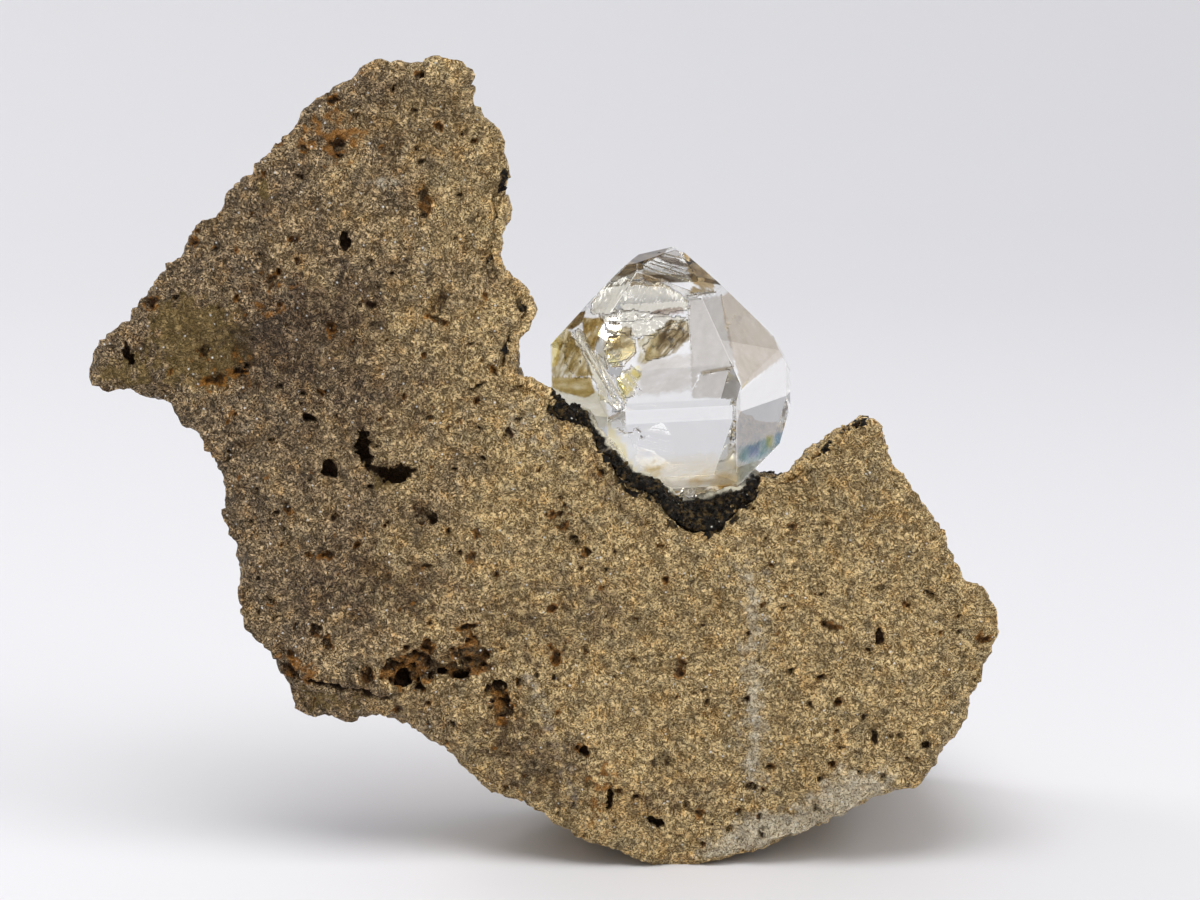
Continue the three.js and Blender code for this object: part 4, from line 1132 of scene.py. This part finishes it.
# Old cracks inside, thin gaps of air that shine like silver where they slant: how far behind
# the face, how they lean back to the right and upward, the height and size of their crumples,
# the height, spacing and direction of their ribs, share, and the crack's corners.
CRACKS = [
    (
        1.0, (0.1, 0.28), 0.04, 0.7, (0.036, 0.55, -25), (1.0, 1.0, 1.0),
        [(0.2, 12.6), (2.3, 13.2), (4.8, 12.9), (6.9, 11.7), (6.9, 10.6), (3.8, 9.8), (0.8, 9.8), (-0.8, 10.6)],
    ),
    (
        0.7, (0.75, 0.3), 0.05, 0.8, (0.045, 0.40, 30), (0.99, 0.98, 0.95),
        [(-2.2, 9.2), (-1.4, 9.5), (2.2, 3.7), (1.4, 2.9), (-0.2, 4.0), (-1.2, 6.8)],
    ),
    (
        0.7, (-0.1, 0.2), 0.05, 0.40, (0.0, 1.0, 0), (1.0, 0.98, 0.90),
        [(0.5, 8.5), (1.5, 9.2), (2.8, 8.5), (2.9, 7.5), (2.2, 6.7), (0.6, 6.5), (0.2, 7.5)],
    ),
    (
        1.2, (0.4, 0.2), 0.11, 0.5, (0.0, 1.0, 0), (0.97, 0.94, 0.88),
        [(3.1, 8.1), (4.6, 9.2), (5.5, 9.8), (6.8, 9.9), (7.0, 8.7), (5.8, 7.7), (5.2, 7.0), (3.4, 6.8)],
    ),
    (
        0.5, (0.3, -0.3), 0.03, 0.5, (0.050, 0.36, 48), (1.0, 0.98, 0.92),
        [(1.1, 5.5), (2.4, 6.7), (3.2, 5.9), (2.6, 4.0), (1.8, 4.0)],
    ),
    (
        0.6, (0.3, 0.2), 0.10, 0.4, (0.0, 1.0, 0), (0.98, 0.95, 0.88),
        [(-2.8, 8.1), (-1.9, 8.8), (-0.6, 7.3), (-0.8, 5.5), (-1.9, 5.4), (-2.7, 6.5)],
    ),
    (
        0.5, (0.1, 0.2), 0.07, 0.38, (0.0, 1.0, 0), (1.0, 1.0, 1.0),
        [(-0.1, 10.3), (1.5, 10.9), (3.8, 10.6), (6.9, 10.2), (6.2, 9.2), (3.1, 8.5), (0.4, 8.8)],
    ),
]
CRACK_GAP = 0.05 * MM
CRACK_CUT = 0.11             # mesh size of the cracks, in millimetres
CRACK_EDGE = 0.5             # over this width they close up and flatten toward their outline, in millimetres


def line_distance(points, start, end):
    """How far each point is from a straight line between two points."""
    start, end = np.array(start), np.array(end)
    along = end - start
    share = np.clip((points - start) @ along / (along @ along), 0, 1)
    return np.hypot(*(points - start - share[:, None] * along).T)


def streaks(points, turn, seed):
    """Random values around 0 for each point, drawn out in one direction."""
    turn = math.radians(turn)
    along = points[:, 0] * math.cos(turn) + points[:, 1] * math.sin(turn)
    across = points[:, 1] * math.cos(turn) - points[:, 0] * math.sin(turn)
    spots = np.stack((along * 0.3, across, np.full(len(points), seed * 3.7)), axis=1)
    return 1.4 * ruffles(spots, 0.35, 5)[:, 1] + 0.9 * ruffles(spots, 0.14, 9)[:, 1]


def quartz_material():
    material, tree, surface = new_material("clear quartz")
    # The faces' colour: iron stain, and painted shade where the dark rock and lining show through the crystal.
    stain_and_shade = put(tree, "ShaderNodeAttribute", attribute_name="stain_and_shade").outputs["Color"]
    tree.links.new(stain_and_shade, surface.inputs["Base Color"])
    tree.links.new(attribute(tree, "frost"), surface.inputs["Roughness"])
    surface.inputs["IOR"].default_value = QUARTZ_IOR
    surface.inputs["Transmission Weight"].default_value = 1.0
    absorb = put(tree, "ShaderNodeVolumeAbsorption", {"Color": (0.97, 0.96, 0.92, 1), "Density": 6.0})
    tree.links.new(absorb.outputs[0], tree.nodes["Material Output"].inputs["Volume"])
    return material


def wanted_cut(middles, facing_eye):
    """The mesh size wanted at each place: fine where there are grooves, steps and stains."""
    points = seen(middles)
    busy = (points[:, 0] < BUSY_TO) & (points[:, 1] > BUSY_FROM)
    cut = np.where(facing_eye, np.where(busy, BUSY_CUT, FRONT_CUT), BACK_CUT)
    for start, end, width, depth, share in GROOVES:
        near = facing_eye & (line_distance(points, start, end) < width * 0.8)
        cut = np.where(near, np.minimum(cut, width * 0.42 * MM), cut)
    return cut


crystal = clean_copy("quartz_crystal", "quartz")
bm = bmesh.new()
bm.from_mesh(crystal.data)
bmesh.ops.dissolve_limit(bm, angle_limit=math.radians(0.6), verts=bm.verts, edges=bm.edges)
front_edges = [
    edge for edge in bm.edges
    if any(face.normal.dot(EYE - edge.verts[0].co) > 0 for face in edge.link_faces)
]
bmesh.ops.bevel(
    bm,
    geom=front_edges + list({vert for edge in front_edges for vert in edge.verts}),
    offset=EDGE_ROUNDING,
    offset_type="OFFSET",
    segments=1,
    affect="EDGES",
    clamp_overlap=True,
)
bmesh.ops.triangulate(bm, faces=bm.faces)
for i in range(14):
    edges = list(bm.edges)
    ends = np.array([(*edge.verts[0].co, *edge.verts[1].co) for edge in edges])
    middles = (ends[:, :3] + ends[:, 3:]) / 2
    facing_eye = np.array([
        any(face.normal.dot(EYE - edge.verts[0].co) > 0 for face in edge.link_faces) for edge in edges
    ])
    lengths = np.linalg.norm(ends[:, :3] - ends[:, 3:], axis=1)
    long = lengths > wanted_cut(middles, facing_eye) * 1.4
    if not long.any():
        break
    bmesh.ops.subdivide_edges(bm, edges=[edges[i] for i in np.flatnonzero(long)], cuts=1)
    bmesh.ops.triangulate(bm, faces=[face for face in bm.faces if len(face.verts) > 3])
tree_of_faces = BVHTree.FromBMesh(bm)
bm.to_mesh(crystal.data)
bm.free()

places, normals = corners(crystal.data)
points = seen(places)
facing_eye = ((np.array(EYE) - places) * normals).sum(axis=1) > 0

# Grooves sink the faces.
sink = np.zeros(len(places))
for start, end, width, depth, share in GROOVES:
    away = line_distance(points, start, end)
    sink = np.maximum(sink, depth * smooth((width / 2 - away) / (0.3 * width)) * facing_eye)

wobble = ruffles(places, 0.5 * MM, 31)[:, [0, 2]] + 0.5 * ruffles(places, 0.18 * MM, 37)[:, [0, 2]]
through = np.ones((len(places), 3))
for number, (share, ragged, softness, mottling, turn, outline) in enumerate(STAINS_AND_SHADE):
    inside = how_far_inside(points + wobble * ragged, outline)
    strength = smooth(inside / softness + 0.5) * facing_eye
    hit = strength > 0
    density = strength[hit] * np.clip(1 + mottling * streaks(points[hit], turn, number), 0.05, 2.2)
    through[hit] *= np.array(share) ** density[:, None]
for start, end, width, depth, share in GROOVES:
    away = line_distance(points + wobble * 0.04, start, end)
    mask = smooth((width / 2 - away) / (0.3 * width)) * facing_eye
    through = through * (1 - mask[:, None]) + mask[:, None] * np.array(share)
places = places - normals * sink[:, None] * MM
faces = np.empty(len(crystal.data.polygons) * 3, int)
crystal.data.polygons.foreach_get("vertices", faces)
places, faces, through = [places], [faces.reshape(-1, 3)], [through]
counted = counted_outside = len(places[0])
outer_faces = len(faces[0])

for depth, lean, crumple, crumple_size, ribs, share, outline in CRACKS:
    rib_height, rib_step, rib_turn = ribs
    ring = np.array(outline)
    low, high = ring.min(axis=0) - 0.2, ring.max(axis=0) + 0.2
    columns = np.arange(low[0], high[0], CRACK_CUT)
    rows = np.arange(low[1], high[1], CRACK_CUT)
    grid = np.array([(x, y) for x in columns for y in rows])
    flat = np.stack((grid[:, 0], np.full(len(grid), depth * 7.0), grid[:, 1]), axis=1) * MM
    fray = ruffles(flat, 0.6 * MM, 61)
    inside = how_far_inside(grid + 0.25 * fray[:, [0, 2]], outline)
    fade = smooth(inside / CRACK_EDGE)
    gap = CRACK_GAP * fade
    turn = math.radians(rib_turn)
    along_ribs = grid[:, 0] * math.cos(turn) + grid[:, 1] * math.sin(turn)
    behind = depth + (grid - ring.mean(axis=0)) @ np.array(lean)
    behind += crumple * 2 * ruffles(flat, crumple_size * MM, 67)[:, 1] * fade
    behind += rib_height * np.sin(along_ribs * 2 * math.pi / rib_step + 2.5 * fray[:, 1]) * fade
    spans = {}
    for v in np.flatnonzero(inside > 0).tolist():
        aim = AIM + Vector((grid[v][0], 0, 0)) * MM + UPWARD * grid[v][1] * MM
        way = (aim - EYE).normalized()
        front = tree_of_faces.ray_cast(EYE, way)[0]
        if front is None:
            continue
        back = tree_of_faces.ray_cast(front + way * 0.05 * MM, way)[0]
        if back is not None and (back - front).length > 0.8 * MM:
            spans[v] = (front, way, (back - front).length / MM - 0.35)
    quads = []
    for i in range(len(columns) - 1):
        for j in range(len(rows) - 1):
            v = i * len(rows) + j
            quad = (v, v + len(rows), v + len(rows) + 1, v + 1)
            if all(corner in spans for corner in quad):
                quads.append(quad)
    used, times = np.unique(np.array(quads), return_counts=True)
    rim = {int(v) for v in used[times < 4]}
    near_side, far_side, extra = {}, {}, []
    for v in used.tolist():
        front, way, room = spans[v]
        at = front + way * min(max(behind[v], 0.22), room) * MM
        near_side[v] = far_side[v] = counted + len(extra)
        if v in rim:
            extra.append(at)
        else:
            far_side[v] = near_side[v] + 1
            extra.append(at - way * gap[v] / 2)
            extra.append(at + way * gap[v] / 2)
    sides = []
    for quad in quads:
        a, b, c, d = quad
        sides.append([near_side[v] for v in (a, b, c)])
        sides.append([near_side[v] for v in (a, c, d)])
        sides.append([far_side[v] for v in (c, b, a)])
        sides.append([far_side[v] for v in (d, c, a)])
    sides = np.array([side for side in sides if len(set(side)) == 3])
    extra = np.array(extra)
    first = sides[0] - counted
    normal = np.cross(extra[first[1]] - extra[first[0]], extra[first[2]] - extra[first[0]])
    if normal @ np.array(FORWARD) < 0:
        sides = sides[:, ::-1]
    places.append(extra)
    faces.append(sides)
    through.append(np.tile(np.array(share), (len(extra), 1)))
    counted += len(extra)

places, faces, through = np.concatenate(places), np.concatenate(faces), np.concatenate(through)
quartz_mesh = bpy.data.meshes.new("quartz")
quartz_mesh.from_pydata(places.tolist(), [], faces.tolist())
colours = np.ones((len(places), 4))
colours[:, :3] = np.clip(through, 0, 1) ** 2
quartz_mesh.attributes.new("stain_and_shade", "FLOAT_COLOR", "POINT").data.foreach_set("color", colours.ravel())
frost = np.zeros(len(places))
hidden = smooth((FROST_TOP - places[:counted_outside, 2]) / (1 * MM)) * ~facing_eye
for outline in FROSTED:
    hidden = np.maximum(hidden, smooth(how_far_inside(points, outline) / 0.3 + 0.5) * facing_eye)
frost[:counted_outside] = FROST * hidden
write(quartz_mesh, "frost", frost)
quartz_mesh.materials.append(quartz_material())
in_crack = np.arange(len(faces)) >= outer_faces
quartz_mesh.polygons.foreach_set("use_smooth", in_crack)
crystal.data = quartz_mesh
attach(crystal, "root")
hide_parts("quartz_crystal")

# ---------------------------------------------------------------------------------------------
# The table: white card that sweeps up behind the specimen, as for a portrait of a mineral.

FLOOR_HALF = 900 * MM
SWEEP_START = 250 * MM
SWEEP_RADIUS = 350 * MM
SWEEP_TOP = 900 * MM


def card_material():
    material, tree, surface = new_material("white card")
    surface.inputs["Base Color"].default_value = (0.78, 0.775, 0.79, 1)
    surface.inputs["Roughness"].default_value = 0.6
    return material


profile = [(-FLOOR_HALF, 0.0), (SWEEP_START, 0.0)]
for step in range(1, 13):
    turn = math.radians(90 * step / 12)
    profile.append(
        (SWEEP_START + SWEEP_RADIUS * math.sin(turn), SWEEP_RADIUS * (1 - math.cos(turn)))
    )
profile.append((SWEEP_START + SWEEP_RADIUS, SWEEP_TOP))
card_mesh = bpy.data.meshes.new("card")
card_mesh.from_pydata(
    [(side * FLOOR_HALF, y, z) for y, z in profile for side in (-1, 1)],
    [],
    [(2 * i, 2 * i + 1, 2 * i + 3, 2 * i + 2) for i in range(len(profile) - 1)],
)
card_mesh.polygons.foreach_set("use_smooth", [True] * len(card_mesh.polygons))
card_mesh.materials.append(card_material())
card = bpy.data.objects.new("card", card_mesh)
bpy.context.scene.collection.objects.link(card)

# ---------------------------------------------------------------------------------------------
# The lights: a wide softbox above the camera, a smaller one high on the right, and a pale room.

LIGHTS = [
    # name, place in metres, what it looks at, width in metres, watts
    ("key softbox", (-0.03, -0.18, 0.52), (0, 0, 0.03), 0.32, 1.65),
    ("right softbox", (0.42, -0.25, 0.35), (0, 0, 0.03), 0.25, 0.9),
    ("left rim softbox", (-0.38, 0.22, 0.30), (0, 0, 0.04), 0.20, 0.7),
]
ROOM_LIGHT = 0.50

for name, spot, target, width, watts in LIGHTS:
    lamp_data = bpy.data.lights.new(name, "AREA")
    lamp_data.shape = "SQUARE"
    lamp_data.size = width
    lamp_data.energy = watts
    lamp = bpy.data.objects.new(name, lamp_data)
    bpy.context.scene.collection.objects.link(lamp)
    lamp.location = spot
    lamp.rotation_euler = (Vector(target) - Vector(spot)).to_track_quat("-Z", "Y").to_euler()

room = bpy.data.worlds.new("pale room")
room.use_nodes = True
room.node_tree.nodes["Background"].inputs["Color"].default_value = (0.95, 0.96, 1.0, 1)
room.node_tree.nodes["Background"].inputs["Strength"].default_value = ROOM_LIGHT
bpy.context.scene.world = room
bpy.context.scene.view_settings.view_transform = "Standard"

# Light turns round inside the crystal many times before it leaves.
bpy.context.scene.cycles.max_bounces = 18
bpy.context.scene.cycles.glossy_bounces = 14
bpy.context.scene.cycles.transmission_bounces = 14
bpy.context.scene.cycles.caustics_reflective = False
bpy.context.scene.cycles.caustics_refractive = False
